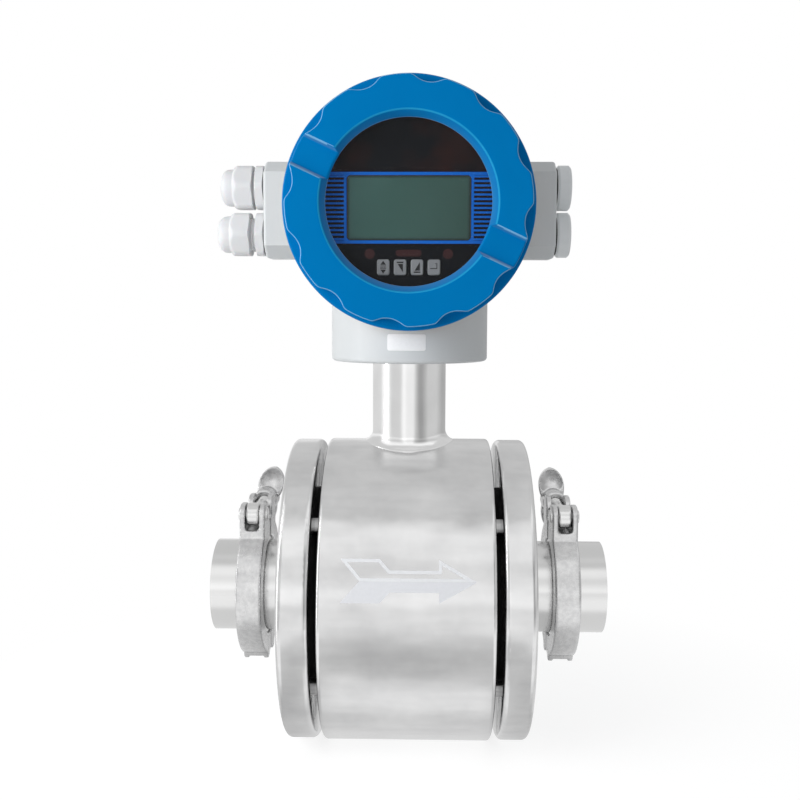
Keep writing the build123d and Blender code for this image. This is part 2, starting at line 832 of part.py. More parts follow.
def terminals():
    """Terminal block on the partition in the rear chamber, with its screws."""
    back = partition_front + partition_thickness
    front = back + terminal_depth
    half = terminal_count * terminal_pitch / 2
    low, high = -terminal_drop - terminal_height / 2, -terminal_drop + terminal_height / 2
    body = block((-half, back, low), (half, front, high))
    body = chamfer(body.edges().filter_by(Axis.X).group_by(Axis.Y)[-1], 2.0)
    screws = []
    for k in range(terminal_count):
        x = -half + (k + 0.5) * terminal_pitch
        head_low = front - terminal_screw_length - 1
        well = bar_y(head_low, front + 1, terminal_screw_radius + running, x=x, z=-terminal_drop)
        wire = Pos(x, back + terminal_depth / 2, low) * Cylinder(terminal_wire_radius, terminal_height * 0.6)
        body -= well
        body -= wire
        screw = bar_y(head_low, front - 1, terminal_screw_radius, x=x, z=-terminal_drop)
        slot = block(
            (x - terminal_screw_radius, front - 1.8, -terminal_drop - 0.3),
            (x + terminal_screw_radius, front, -terminal_drop + 0.3),
        )
        screws.append(on_head(screw - slot))
    return {"terminal_block": on_head(body), "terminal_screws": screws}


def hexagon_x(x_low, x_high, flats):
    """Hexagonal bar along X with one flat on top."""
    face = Plane.YZ * RegularPolygon(flats / 2, 6, major_radius=False, rotation=0)
    return Pos(x_low, 0, 0) * extrude(face, x_high - x_low)


def gland(z, stand):
    """One cable gland at the right-hand boss: body, nut, seal and washer."""
    washer_end = boss_half_width + gland_washer_thickness
    flange_end = washer_end + gland_flange_thickness
    thread_end = flange_end + gland_thread_length
    nut_start = flange_end + stand
    hex_end = nut_start + gland_nut_hex_length
    nut_end = hex_end + gland_nut_dome_length
    washer = tube_x(boss_half_width, washer_end, gland_washer_radius, entry_diameter / 2)
    body = hexagon_x(washer_end, flange_end, gland_flats) & turned_x(
        [
            (washer_end, 0),
            (washer_end, gland_corner_radius - gland_chamfer),
            (washer_end + gland_chamfer, gland_corner_radius),
            (flange_end - gland_chamfer, gland_corner_radius),
            (flange_end, gland_corner_radius - gland_chamfer),
            (flange_end, 0),
        ]
    )
    body += tube_x(boss_half_width - entry_thread_length, washer_end, entry_diameter / 2 - running)
    body += tube_x(flange_end, thread_end, gland_thread_radius)
    body -= tube_x(boss_half_width - entry_thread_length - 1, thread_end + 1, gland_bore_radius)
    seal_pocket = thread_end - gland_thread_length / 2
    body -= tube_x(seal_pocket, thread_end + 1, gland_mouth_radius + seat)
    seal_end = nut_end - gland_dome_round * 0.6
    seal = tube_x(seal_pocket, seal_end, gland_mouth_radius, gland_seal_bore_radius)
    nut = hexagon_x(nut_start, hex_end, gland_flats) & turned_x(
        [
            (nut_start, 0),
            (nut_start, gland_corner_radius - gland_chamfer / 2),
            (nut_start + gland_chamfer / 2, gland_corner_radius),
            (hex_end - 2 * gland_chamfer, gland_corner_radius),
            (hex_end, gland_dome_radius + gland_chamfer),
            (hex_end, 0),
        ]
    )
    dome = tube_x(hex_end - 1, nut_end, gland_dome_radius)
    dome = fillet(dome.edges().filter_by(GeomType.CIRCLE).sort_by(Axis.X)[-1], gland_dome_round)
    nut += dome
    nut -= tube_x(nut_start - 1, thread_end + seat, gland_thread_radius + running)
    nut -= tube_x(thread_end, seal_end + seat, gland_mouth_radius + seat)
    nut -= tube_x(seal_end, nut_end + 1, gland_mouth_radius - 1.2)
    place = Pos(0, entry_y, z)
    return {"washer": place * washer, "body": place * body, "nut": place * nut, "seal": place * seal}


def blanking_plug(z):
    """Screw-in plug with a domed round head and a driver slot, and its gasket."""
    gasket_end = boss_half_width + plug_gasket_thickness
    head_end = gasket_end + plug_thickness
    gasket = tube_x(boss_half_width, gasket_end, plug_gasket_radius, entry_diameter / 2)
    rim_end = head_end - plug_dome
    edge = Polyline(
        (head_end, 0),
        (gasket_end, 0),
        (gasket_end, plug_radius - plug_edge_radius),
        (gasket_end + plug_edge_radius, plug_radius),
        (rim_end - plug_edge_radius, plug_radius),
        (rim_end, plug_radius - plug_edge_radius),
    )
    crown_middle = (head_end - plug_dome * 0.25, (plug_radius - plug_edge_radius) / 2)
    edge += ThreePointArc((rim_end, plug_radius - plug_edge_radius), crown_middle, (head_end, 0))
    head = revolve(make_face(edge), Axis.X)
    head += tube_x(boss_half_width - entry_thread_length, gasket_end, entry_diameter / 2 - running)
    head -= block(
        (head_end - plug_slot_depth, -plug_radius * 0.7, -plug_slot_width / 2),
        (head_end + 1, plug_radius * 0.7, plug_slot_width / 2),
    )
    place = Pos(0, entry_y, z)
    return place * head, place * gasket


def entries():
    """Cable glands on the left boss and blanking plugs on the right one."""
    parts = {}
    washers = []
    seals = []
    gaskets = []
    for name, z in ENTRIES.items():
        pieces = gland(z, gland_nut_stand[name])
        flipped = {key: on_head(mirror(piece, about=Plane.YZ)) for key, piece in pieces.items()}
        parts[f"gland_body_{name}"] = flipped["body"]
        parts[f"gland_nut_{name}"] = flipped["nut"]
        seals.append(flipped["seal"])
        washers.append(flipped["washer"])
        plug, gasket = blanking_plug(z)
        parts[f"blanking_plug_{name}"] = on_head(plug)
        gaskets.append(on_head(gasket))
    parts["gland_washers"] = washers
    parts["gland_seals"] = seals
    parts["plug_gaskets"] = gaskets
    return parts


def build():
    """Every node of the meter by name."""
    parts = {}
    parts.update(sensor_barrel())
    parts["electrodes"] = electrodes()
    parts.update(field_coils())
    parts.update(end_discs())
    parts.update(ferrules())
    parts.update(clamps())
    parts["neck_tube"] = neck()
    parts["housing"] = housing()
    parts.update(covers())
    parts.update(display())
    parts.update(terminals())
    parts.update(entries())
    return parts


def write(parts):
    """Write one STEP file for each node."""
    os.makedirs("parts", exist_ok=True)
    for name, shape in parts.items():
        if isinstance(shape, list):
            shape = Compound(children=[piece.solids()[0] for piece in shape])
        export_step(shape, f"parts/{name}.step")


write(build())
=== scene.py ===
# Sanitary flow meter: the finish of every piece, and the fine forms that the solids leave plain.
# Lengths are millimetres in the frame's axes, and become metres when a mesh is made.
import json
import math

import bmesh
import bpy
import numpy as np
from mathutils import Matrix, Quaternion, Vector

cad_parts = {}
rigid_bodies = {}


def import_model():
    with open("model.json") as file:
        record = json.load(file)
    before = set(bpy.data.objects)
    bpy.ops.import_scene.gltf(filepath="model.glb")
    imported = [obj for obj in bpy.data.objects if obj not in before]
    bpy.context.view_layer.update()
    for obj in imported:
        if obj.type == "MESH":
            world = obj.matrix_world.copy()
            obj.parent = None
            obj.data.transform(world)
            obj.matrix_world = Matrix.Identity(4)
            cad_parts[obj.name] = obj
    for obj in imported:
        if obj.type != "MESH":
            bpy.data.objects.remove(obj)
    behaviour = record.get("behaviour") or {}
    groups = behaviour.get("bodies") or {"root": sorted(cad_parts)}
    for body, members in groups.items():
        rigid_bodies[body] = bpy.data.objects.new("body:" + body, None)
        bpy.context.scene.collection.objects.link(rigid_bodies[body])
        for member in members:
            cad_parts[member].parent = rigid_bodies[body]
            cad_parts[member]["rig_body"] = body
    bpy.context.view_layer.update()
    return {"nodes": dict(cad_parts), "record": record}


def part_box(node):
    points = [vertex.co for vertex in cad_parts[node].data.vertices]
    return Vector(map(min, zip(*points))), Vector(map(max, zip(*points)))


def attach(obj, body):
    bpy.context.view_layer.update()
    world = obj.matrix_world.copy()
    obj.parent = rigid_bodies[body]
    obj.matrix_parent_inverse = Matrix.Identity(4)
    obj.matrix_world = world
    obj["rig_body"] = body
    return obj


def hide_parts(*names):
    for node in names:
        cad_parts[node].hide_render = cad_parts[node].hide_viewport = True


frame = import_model()

MM = 0.001


def box_mm(node):
    """Lowest and highest corner of a solid, in millimetres."""
    low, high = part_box(node)
    return np.array(low) / MM, np.array(high) / MM


# Places read from the solids
glass_low, glass_high = box_mm("window_glass")
head_z = (glass_low[2] + glass_high[2]) / 2
barrel_radius = box_mm("barrel_shell")[1][2]
cover_low, cover_high = box_mm("front_cover")
cover_face = -cover_low[1]
cover_back = -cover_high[1]
rim_radius = cover_high[0]
panel_front = box_mm("display_panel")[0][1]
cell_low, cell_high = box_mm("display_lcd")
housing_low = box_mm("housing")[0]

# Camera, fitted to the photograph
camera_place = (0.00712, -0.56013, 0.15787)
camera_aim = (-0.02190436, 0.99556904, -0.0914466)
camera_roll_deg = -0.2
camera_lens = 44.91
sensor_width = 36.0

# Screwed covers
rim_thickness = 6.0
rim_edge = 1.2
thread_bore = 54.05
lobe_radius = 61.8
scallop_count = 12
scallop_radius = 12.0
scallop_bite = 3.4
first_scallop_deg = 21.0
scallop_softness = 0.75
grip_edge = 0.85
grip_foot = 0.7
groove_deg = 155.0
groove_half_width = 7.5
groove_depth = 3.4
groove_wall = 1.1
groove_zone = 11.0
groove_end = 38.6
roof_thickness = 5.0
window_face_radius = 44.6
window_glass_radius = 41.6
window_lip = 0.8
window_edge = 0.9

# Neck and its weld
neck_radius = 20.4
neck_wall = 2.0
weld_radius = 6.0
weld_leg = 4.1

# Cable glands
gland_flats = 23.0
gland_corner_radius = 12.45
gland_thread_radius = 9.3
gland_mouth_radius = 5.7
gland_thread_pitch = 1.5
gland_flange_gap = 1.2
gland_flange_width = 4.4
seal_chamber_end = -92.6

# Print round the display cell
print_radius = 45.5
print_film = 0.05
frame_height = 1.7
frame_bar = 1.3
frame_corner = 2.4
stripe_count = 16
stripe_share = 0.46
sign_scale = 1.12
eye_places = (-19.8, 19.9)
eye_window_radius = 2.6
eye_drop = 25.0
pill_half_width = 6.55
pill_top = -22.9
pill_bottom = -26.3

# Pieces that start above this height don't show in the barrel's reflections
unmirrored_above = 116.1

# Label on the housing's base
base_radius = 43.3
label_middle = (-1.0, 140.3)
label_half_width = 10.0
label_half_height = 4.3
label_corner = 1.1
label_lift = 0.13

# Swing bolts
eye_radius = 6.4
eye_width = 7.2
pin_hole_radius = 2.55
shank_radius = 3.5
shank_thread_depth = 0.5
shank_thread_pitch = 1.25
shank_thread_start = 12.0
shank_end = 45.0

# Flow arrow: heights from its middle line, and places along X from its tail to its tip
arrow_z = 24.2
arrow_tail = 10.3
arrow_shaft = 5.1
arrow_head = 10.2
arrow_back = -32.7
arrow_notch = -23.2
arrow_flight = -13.2
arrow_start = -8.2
arrow_neck = 16.0
arrow_tip = 34.7
arrow_line = 1.5


def turn(count):
    """Angles of one full turn, without the last."""
    return np.arange(count) * (2 * math.pi / count)


def soft_min(a, b, softness):
    """The lesser of two fields with their crease rounded: minus the log of the sum of falling exponentials."""
    low = np.minimum(a, b)
    return low - softness * np.log(np.exp((low - a) / softness) + np.exp((low - b) / softness))


def smooth_step(x):
    """Rises from 0 to 1 as x does, level at both ends: 3x squared less 2x cubed."""
    x = np.clip(x, 0.0, 1.0)
    return x * x * (3 - 2 * x)


def rounded(*corners, steps=5, closed=False):
    """Outline through corners (a, b, radius). Each radius is an arc that meets both sides smoothly, with one more
    point close outside each end of the arc, so that the flat sides shade flat."""
    places = np.array([corner[:2] for corner in corners], float)
    count = len(corners)
    line = []
    for k, corner in enumerate(corners):
        radius = corner[2] if len(corner) > 2 else 0.0
        if not radius or (not closed and k in (0, count - 1)):
            line.append(places[k][None])
            continue
        before = places[k - 1] - places[k]
        after = places[(k + 1) % count] - places[k]
        lengths = np.linalg.norm(before), np.linalg.norm(after)
        before, after = before / lengths[0], after / lengths[1]
        half = math.acos(np.clip(before @ after, -1, 1)) / 2
        reach = radius / math.tan(half)
        inward = (before + after) / np.linalg.norm(before + after)
        centre = places[k] + inward * radius / math.sin(half)
        ends = [places[k] + side * reach - centre for side in (before, after)]
        first, last = [math.atan2(end[1], end[0]) for end in ends]
        sweep = (last - first + math.pi) % (2 * math.pi) - math.pi
        angles = first + sweep * np.linspace(0, 1, steps + 1)
        arc = centre + radius * np.stack([np.cos(angles), np.sin(angles)], -1)
        leads = [min(0.35 * radius, 0.3 * max(length - reach, 0.0)) for length in lengths]
        line += [(arc[0] + before * leads[0])[None], arc, (arc[-1] + after * leads[1])[None]]
    return np.concatenate(line)


def round_x(x, radius, angles):
    """Points at x along the axis X, and at a radius and an angle about it."""
    return np.stack([x + 0 * angles, radius * np.cos(angles), radius * np.sin(angles)], -1)


def turned(profile, centre=(0.0, 0.0, 0.0), count=48):
    """Grid of points: each (along, radius) of the profile goes once round X through the centre."""
    along, radius = np.asarray(profile, float).T[:, :, None]
    return round_x(along, radius, turn(count)) + centre


class Skin:
    """Points and faces gathered from several sheets, for one mesh."""

    def __init__(self):
        self.points = []
        self.faces = []
        self.count = 0

    def sheet(self, grid, round_rows=False, round_columns=True):
        """Adds a grid of points as quads, joined round in either direction where asked."""
        rows, columns = grid.shape[:2]
        index = np.arange(rows * columns).reshape(rows, columns) + self.count
        if round_columns:
            index = np.hstack([index, index[:, :1]])
        if round_rows:
            index = np.vstack([index, index[:1]])
        corners = (index[:-1, :-1], index[:-1, 1:], index[1:, 1:], index[1:, :-1])
        self.faces += np.stack(corners, -1).reshape(-1, 4).tolist()
        self.points.append(grid.reshape(-1, 3))
        self.count += rows * columns
        return self

    def prism(self, front, back):
        """Adds a closed plate between two matching outlines."""
        count = len(front)
        loop = list(range(self.count, self.count + count))
        far = [k + count for k in loop]
        self.faces += [loop, far[::-1]]
        self.faces += [[loop[k - 1], far[k - 1], far[k], loop[k]] for k in range(count)]
        self.points += [np.asarray(front, float), np.asarray(back, float)]
        self.count += 2 * count
        return self


def merged(mesh):
    """Joins points that coincide and turns every face outwards."""
    work = bmesh.new()
    work.from_mesh(mesh)
    bmesh.ops.remove_doubles(work, verts=work.verts, dist=0.001 * MM)
    bmesh.ops.dissolve_degenerate(work, edges=work.edges, dist=0.0001 * MM)
    bmesh.ops.recalc_face_normals(work, faces=work.faces)
    work.to_mesh(mesh)
    work.free()


def placed(name, data):
    """New object in the scene."""
    made = bpy.data.objects.new(name, data)
    bpy.context.scene.collection.objects.link(made)
    return made


def dress(piece, body, finish, replaces=(), sharp_deg=40.0):
    """Shades a piece, gives it its finish and hangs it on its body."""
    mesh = piece.data
    mesh.shade_smooth()
    mesh.set_sharp_from_angle(angle=math.radians(sharp_deg))
    mesh.materials.clear()
    mesh.materials.append(finish)
    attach(piece, body)
    if replaces:
        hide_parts(*replaces)


def make(name, skin, body, finish, replaces=()):
    """One piece from gathered sheets, in metres."""
    mesh = bpy.data.meshes.new(name)
    points = np.concatenate(skin.points) * MM
    mesh.from_pydata(points.tolist(), [], skin.faces)
    merged(mesh)
    dress(placed(name, mesh), body, finish, replaces)


def cast_copy(node, finish, voxel, rounds):
    """A solid's surface rebuilt as an even mesh whose points move to their neighbours' mean, as a cast edge is."""
    source = frame["nodes"][node]
    mesh = source.data.copy()
    merged(mesh)
    rough = placed(node + "_rough", mesh)
    remesh = rough.modifiers.new("even", "REMESH")
    remesh.mode = "VOXEL"
    remesh.voxel_size = voxel * MM
    remesh.adaptivity = 0.0
    relax = rough.modifiers.new("relax", "SMOOTH")
    relax.factor = 0.5
    relax.iterations = rounds
    graph = bpy.context.evaluated_depsgraph_get()
    final = bpy.data.meshes.new_from_object(rough.evaluated_get(graph))
    bpy.data.objects.remove(rough)
    dress(placed(node + "_skin", final), source["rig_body"], finish, [node], sharp_deg=180.0)


class Value:
    """One shader socket. Arithmetic on it adds Math nodes."""

    def __init__(self, nodes, socket):
        self.nodes = nodes
        self.socket = socket

    def math(self, operation, *others):
        sockets = dict(enumerate((self, *others)))
        return Value(self.nodes, self.nodes.node("ShaderNodeMath", {"operation": operation}, sockets).outputs[0])

    def __add__(self, other):
        return self.math("ADD", other)

    __radd__ = __add__

    def __sub__(self, other):
        return self.math("SUBTRACT", other)

    def __rsub__(self, other):
        return (self * -1.0) + other

    def __mul__(self, other):
        return self.math("MULTIPLY", other)

    __rmul__ = __mul__

    def __truediv__(self, other):
        return self.math("DIVIDE", other)

    def size(self):
        """The value without its sign."""
        return self.math("ABSOLUTE")

    def step(self, low, high):
        """0 below low, 1 above high, straight between."""
        return ((self - low) * (1.0 / (high - low))).math("MAXIMUM", 0.0).math("MINIMUM", 1.0)


class Nodes:
    """A node tree, and the one method that adds a node to it."""

    def __init__(self, tree):
        self.tree = tree

    def node(self, kind, settings=(), sockets=()):
        """A node of one type, with its settings first and then the values or links of its sockets. A ramp's stops
        are (place, brightness) pairs."""
        made = self.tree.nodes.new(kind)
        for key, value in dict(settings).items():
            if key == "stops":
                elements = made.color_ramp.elements
                while len(elements) < len(value):
                    elements.new(1.0)
                for element, (place, level) in zip(elements, value):
                    element.position = place
                    element.color = grey(level)
            else:
                setattr(made, key, value)
        for key, value in dict(sockets).items():
            self.feed(made.inputs[key], value)
        return made

    def feed(self, socket, value):
        """Sets a socket to a value, or links it to another socket."""
        if isinstance(value, Value):
            value = value.socket
        if isinstance(value, bpy.types.NodeSocket):
            self.tree.links.new(value, socket)
        else:
            socket.default_value = value

    def split(self, vector):
        """The three numbers of a vector."""
        return [Value(self, part) for part in self.node("ShaderNodeSeparateXYZ", {}, {0: vector}).outputs]

    def ramp(self, factor, stops):
        """Brightness at a factor, straight between (place, brightness) stops."""
        return Value(self, self.node("ShaderNodeValToRGB", {"stops": stops}, {0: factor}).outputs[0])

    def blend(self, factor, low, high):
        """Colour between two colours or links, by a factor."""
        return self.node("ShaderNodeMix", {"data_type": "RGBA"}, {0: factor, 6: low, 7: high}).outputs[2]

    def mix(self, factor, first, second):
        """Shader between two shaders, by a factor."""
        return self.node("ShaderNodeMixShader", {}, {0: factor, 1: first, 2: second}).outputs[0]

    def rays(self, first, second):
        """1 for rays of either kind, and 0 for the others."""
        path = self.node("ShaderNodeLightPath").outputs
        return Value(self, path[first]).math("MAXIMUM", path[second])


class Finish(Nodes):
    """A material with a principled shader, in the piece's own coordinates."""

    def __init__(self, name, sockets):
        self.material = bpy.data.materials.new(name)
        self.material.use_nodes = True
        super().__init__(self.material.node_tree)
        self.shader = self.tree.nodes["Principled BSDF"]
        for key, value in sockets.items():
            self.feed(self.shader.inputs[key], value)
        self.place = self.node("ShaderNodeTexCoord").outputs["Object"]

    def noise(self, scale, detail=3.0, roughness=0.6, turn_deg=0.0):
        """Noise from 0 to 1, turned about Y. The scale is one number or one for each axis, in steps per metre."""
        if isinstance(scale, float):
            scale = (scale, scale, scale)
        sockets = {"Vector": self.place, "Rotation": (0.0, math.radians(turn_deg), 0.0), "Scale": scale}
        place = self.node("ShaderNodeMapping", {"vector_type": "POINT"}, sockets).outputs[0]
        sockets = {"Vector": place, "Scale": 1.0, "Detail": detail, "Roughness": roughness}
        return Value(self, self.node("ShaderNodeTexNoise", {}, sockets).outputs[0])

    def colour(self, factor, low, high):
        """Base colour between two colours or links, by a factor."""
        self.feed(self.shader.inputs["Base Color"], self.blend(factor, low, high))

    def roughness(self, value):
        self.feed(self.shader.inputs["Roughness"], value)

    def bump(self, height, depth, below=None):
        """Bump of a height from 0 to 1 that stands for a depth in millimetres."""
        sockets = {"Height": height, "Strength": 1.0, "Distance": depth * MM}
        if below is not None:
            sockets["Normal"] = below
        made = self.node("ShaderNodeBump", {}, sockets)
        self.feed(self.shader.inputs["Normal"], made.outputs[0])
        return made.outputs[0]


def grey(level, blue=0.0):
    """Grey of a brightness, with a little more blue where asked."""
    return (level, level, level + blue, 1.0)


def polished_steel():
    """Bright steel, polished by hand along the turn about X: cloudy patches, fine lines and slow waves."""
    finish = Finish("polished_steel", {"Metallic": 1.0})
    clouds = finish.noise(26.0, 3.0, 0.5)
    patches = finish.noise(75.0, 4.0, 0.6)
    streaks = finish.noise((16.0, 95.0, 95.0), 3.0, 0.55)
    lines = finish.noise((2600.0, 60.0, 60.0))
    tone = clouds.step(0.3, 0.7) * 0.5 + streaks.step(0.3, 0.7) * 0.3 + patches.step(0.35, 0.65) * 0.2
    finish.colour(tone, grey(0.59, 0.005), grey(0.81))
    finish.roughness(0.05 + clouds * 0.14 + patches * 0.08 + lines * 0.06)
    waves = finish.bump(finish.noise((14.0, 32.0, 32.0), 2.0, 0.45), 1.9)
    dimples = finish.bump(finish.noise(420.0, 2.0, 0.5), 0.006, waves)
    finish.bump(lines, 0.003, dimples)
    return finish.material


def neck_steel():
    """Drawn tube polished along Z, with faint upright lines."""
    finish = Finish("neck_steel", {"Metallic": 1.0})
    lines = finish.noise((1500.0, 1500.0, 24.0))
    clouds = finish.noise(60.0, 3.0, 0.5)
    finish.colour(clouds, grey(0.78), grey(0.90))
    finish.roughness(0.08 + clouds * 0.10 + lines * 0.08)
    waves = finish.bump(finish.noise((90.0, 90.0, 14.0), 2.0, 0.5), 0.22)
    finish.bump(lines, 0.003, waves)
    return finish.material


def ferrule_steel():
    """Turned steel with fine rings about X."""
    finish = Finish("ferrule_steel", {"Metallic": 1.0})
    rings = finish.noise((5200.0, 40.0, 40.0), 2.0, 0.6)
    clouds = finish.noise(45.0, 3.0, 0.5)
    finish.colour(clouds, grey(0.70), grey(0.77, -0.005))
    finish.roughness(0.10 + rings * 0.13 + clouds * 0.08)
    finish.bump(rings, 0.004)
    return finish.material


def cast_steel():
    """Blasted and tumbled casting: fine grain over soft dents, brighter where it is rubbed."""
    finish = Finish("cast_steel", {"Metallic": 1.0})
    grain = finish.noise(2600.0)
    dents = finish.noise(260.0, 3.0, 0.5)
    mottle = finish.noise(420.0).step(0.35, 0.65) * 0.6
    mottle += finish.noise(90.0, 2.0, 0.5).step(0.3, 0.7) * 0.4
    finish.colour(mottle, grey(0.56, 0.005), grey(0.73))
    finish.roughness(0.18 + dents * 0.14 + grain * 0.06)
    soft = finish.bump(dents, 0.09)
    finish.bump(grain, 0.016, soft)
    return finish.material


def screw_steel():
    """Plain machined fasteners."""
    finish = Finish("screw_steel", {"Metallic": 1.0})
    marks = finish.noise(900.0)
    finish.colour(marks, grey(0.50), grey(0.64))
    finish.roughness(0.22 + marks * 0.2)
    finish.bump(marks, 0.01)
    return finish.material


def paint(name, colour, dusty, roughness, coat, peel_depth, tint=grey(1.0)):
    """Sprayed paint on a casting: orange peel, soft patches and small specks of dust."""
    gloss = {"Coat Weight": coat, "Coat Roughness": 0.05, "Specular IOR Level": 0.4, "Specular Tint": tint}
    finish = Finish(name, gloss)
    peel = finish.noise(520.0, 2.0, 0.5)
    patches = finish.noise(40.0, 3.0, 0.5)
    specks = finish.noise(1500.0, 1.0, 0.4).step(0.74, 0.80)
    tone = finish.blend(patches, colour, dusty)
    dust = [min(1.0, level * 1.25 + 0.06) for level in dusty[:3]]
    finish.colour(specks * 0.35, tone, (*dust, 1))
    finish.roughness(roughness + patches * 0.08 + specks * 0.15)
    finish.bump(peel, peel_depth)
    return finish.material


def nylon():
    """Moulded off-white nylon with a faint grain."""
    waxy = {"Subsurface Weight": 0.08, "Subsurface Scale": 0.002}
    finish = Finish("white_plastic", {"Specular IOR Level": 0.4, **waxy})
    grain = finish.noise(1800.0)
    tone = finish.noise(90.0, 2.0, 0.5)
    finish.colour(tone, (0.68, 0.685, 0.70, 1), (0.74, 0.745, 0.755, 1))
    finish.roughness(0.34 + grain * 0.12)
    finish.bump(grain, 0.012)
    return finish.material


def plain(name, low, high, scale, roughness, depth, sockets=()):
    """Moulded, rubber or cast finish: two tones by noise, and its grain as bump."""
    finish = Finish(name, dict(sockets))
    grain = finish.noise(scale)
    tone = finish.noise(scale / 12, 2.0, 0.5)
    finish.colour(tone, (*low, 1), (*high, 1))
    finish.roughness(roughness + grain * 0.12)
    finish.bump(grain, depth)
    return finish.material


def panel_film():
    """Black printed film, warmer and lighter in patches towards its top above the cell, with small bright specks of
    dust under the glass.
    """
    finish = Finish("panel_black", {"Specular IOR Level": 0.12})
    height = finish.split(finish.place)[2]
    upper_warm_patches = finish.noise(34.0, 4.0, 0.6).step(0.45, 0.68) * height.step((head_z - 12) * MM, (head_z + 22) * MM)
    dust = finish.noise(900.0, 2.0, 0.5).step(0.74, 0.78)
    tone = finish.blend(upper_warm_patches, (0.0042, 0.0050, 0.0066, 1), (0.025, 0.011, 0.0095, 1))
    finish.colour(dust * 0.5, tone, grey(0.10))
    finish.roughness(0.38 + upper_warm_patches * 0.2)
    finish.bump(dust, 0.02)
    return finish.material


def lcd_cell():
    """Unlit liquid crystal cell: grey green with a fine speckle, lighter at its left than at its right as painted
    light from the lamp on the left, and darker along its edges as a painted shadow of its recess.
    """
    finish = Finish("lcd_glass", {"Specular IOR Level": 0.3})
    x, _, z = finish.split(finish.place)
    middle = (cell_low + cell_high) / 2 * MM
    half = (cell_high - cell_low) / 2 * MM
    from_side = half[0] - (x - middle[0]).size()
    from_end = half[2] - (z - middle[2]).size()
    # inside falls to 0 at the cell's edges, where the colour darkens: a painted shadow of the recess.
    inside = from_side.math("MINIMUM", from_end).step(0.0002, 0.0016)
    speckle = finish.noise(2200.0, 2.0, 0.6)
    cloud = finish.noise(24.0, 2.0, 0.5)
    # Lighter at the left and darker at the right: painted light from the lamp on the left.
    across = x.step(cell_low[0] * MM, cell_high[0] * MM)
    cloud = cloud.step(0.3, 0.7)
    left = finish.blend(cloud, (0.036, 0.096, 0.084, 1), (0.044, 0.106, 0.096, 1))
    right = finish.blend(cloud, (0.024, 0.062, 0.050, 1), (0.032, 0.074, 0.062, 1))
    tone = finish.blend(across, left, right)
    tone = finish.blend(speckle.step(0.45, 0.75) * 0.35, tone, (0.075, 0.125, 0.108, 1))
    finish.colour(inside, (0.010, 0.018, 0.016, 1), tone)
    finish.roughness(0.36 + speckle * 0.1)
    finish.bump(speckle, 0.004)
    return finish.material


def clear_glass():
    """Toughened window: almost clear, with a weak gloss and faint smears."""
    finish = Finish("clear_glass", {"Base Color": (0.05, 0.055, 0.06, 1), "Specular IOR Level": 0.16})
    smears = finish.noise((40.0, 40.0, 160.0), 3.0, 0.6, 35.0)
    finish.roughness(0.04 + smears * 0.08)
    finish.feed(finish.shader.inputs["Alpha"], 0.02 + smears.step(0.45, 0.8) * 0.025)
    return finish.material


def print_ink(name, colour, roughness=0.45):
    """Printed ink or film, with slight unevenness."""
    finish = Finish(name, {"Specular IOR Level": 0.3})
    mottle = finish.noise(700.0, 2.0, 0.6)
    dark = [level * 0.92 for level in colour]
    finish.colour(mottle, (*dark, 1), (*colour, 1))
    finish.roughness(roughness + mottle * 0.1)
    return finish.material


def all_finishes():
    """Every finish by the record's slot name: its own name without the number that Blender may add."""
    blue_paint, dusty_blue, blue_tint = (0.0, 0.160, 0.435, 1), (0.0, 0.178, 0.47, 1), (0.0, 0.30, 0.85, 1)
    grey_paint, dusty_grey = (0.60, 0.625, 0.635, 1), (0.64, 0.66, 0.67, 1)
    made = [polished_steel(), ferrule_steel(), cast_steel(), screw_steel()]
    made += [nylon(), panel_film(), lcd_cell(), clear_glass()]
    made.append(paint("blue_paint", blue_paint, dusty_blue, 0.28, 0.02, 0.012, blue_tint))
    made.append(paint("grey_paint", grey_paint, dusty_grey, 0.34, 0.10, 0.014))
    rubber = {"Specular IOR Level": 0.3}
    steel = {"Metallic": 1.0}
    for row in (
        ("grey_plastic", (0.80, 0.83, 0.84), (0.86, 0.88, 0.89), 1500.0, 0.36, 0.012),
        ("black_rubber", (0.010, 0.010, 0.011), (0.022, 0.022, 0.023), 1400.0, 0.62, 0.03, rubber),
        ("white_rubber", (0.70, 0.70, 0.68), (0.78, 0.78, 0.76), 1200.0, 0.5, 0.02, rubber),
        ("salmon_rubber", (0.80, 0.56, 0.44), (0.88, 0.64, 0.52), 1200.0, 0.5, 0.02, rubber),
        ("white_liner", (0.78, 0.78, 0.77), (0.84, 0.84, 0.83), 700.0, 0.32, 0.006),
        ("key_grey", (0.20, 0.21, 0.22), (0.26, 0.27, 0.28), 1600.0, 0.5, 0.012, rubber),
        ("board_green", (0.010, 0.085, 0.035), (0.016, 0.12, 0.05), 900.0, 0.35, 0.01),
        ("copper_coil", (0.42, 0.16, 0.05), (0.55, 0.22, 0.08), 1800.0, 0.35, 0.05),
        ("core_steel", (0.18, 0.18, 0.19), (0.26, 0.26, 0.27), 1100.0, 0.5, 0.03, steel),
    ):
        made.append(plain(*row))
    return {material.name.split(".")[0]: material for material in made}


def dress_solids(finishes):
    """Gives each solid the finish of its slot in the record."""
    for part in frame["record"]["subparts"]:
        mesh = frame["nodes"][part["node"]].data
        mesh.materials.clear()
        mesh.materials.append(finishes[part["material_slot"]])


def grip_radius(angle):
    """Radius of the scalloped grip: the lobe circle less twelve round bites, with soft corners."""
    bite_centre = lobe_radius - scallop_bite + scallop_radius
    pitch = 2 * math.pi / scallop_count
    off = (angle - math.radians(first_scallop_deg) + pitch / 2) % pitch - pitch / 2
    across = bite_centre * np.sin(off)
    inside = np.maximum(scallop_radius**2 - across**2, 0.0)
    bite = bite_centre * np.cos(off) - np.sqrt(inside)
    return soft_min(np.full_like(bite, lobe_radius), bite, scallop_softness)


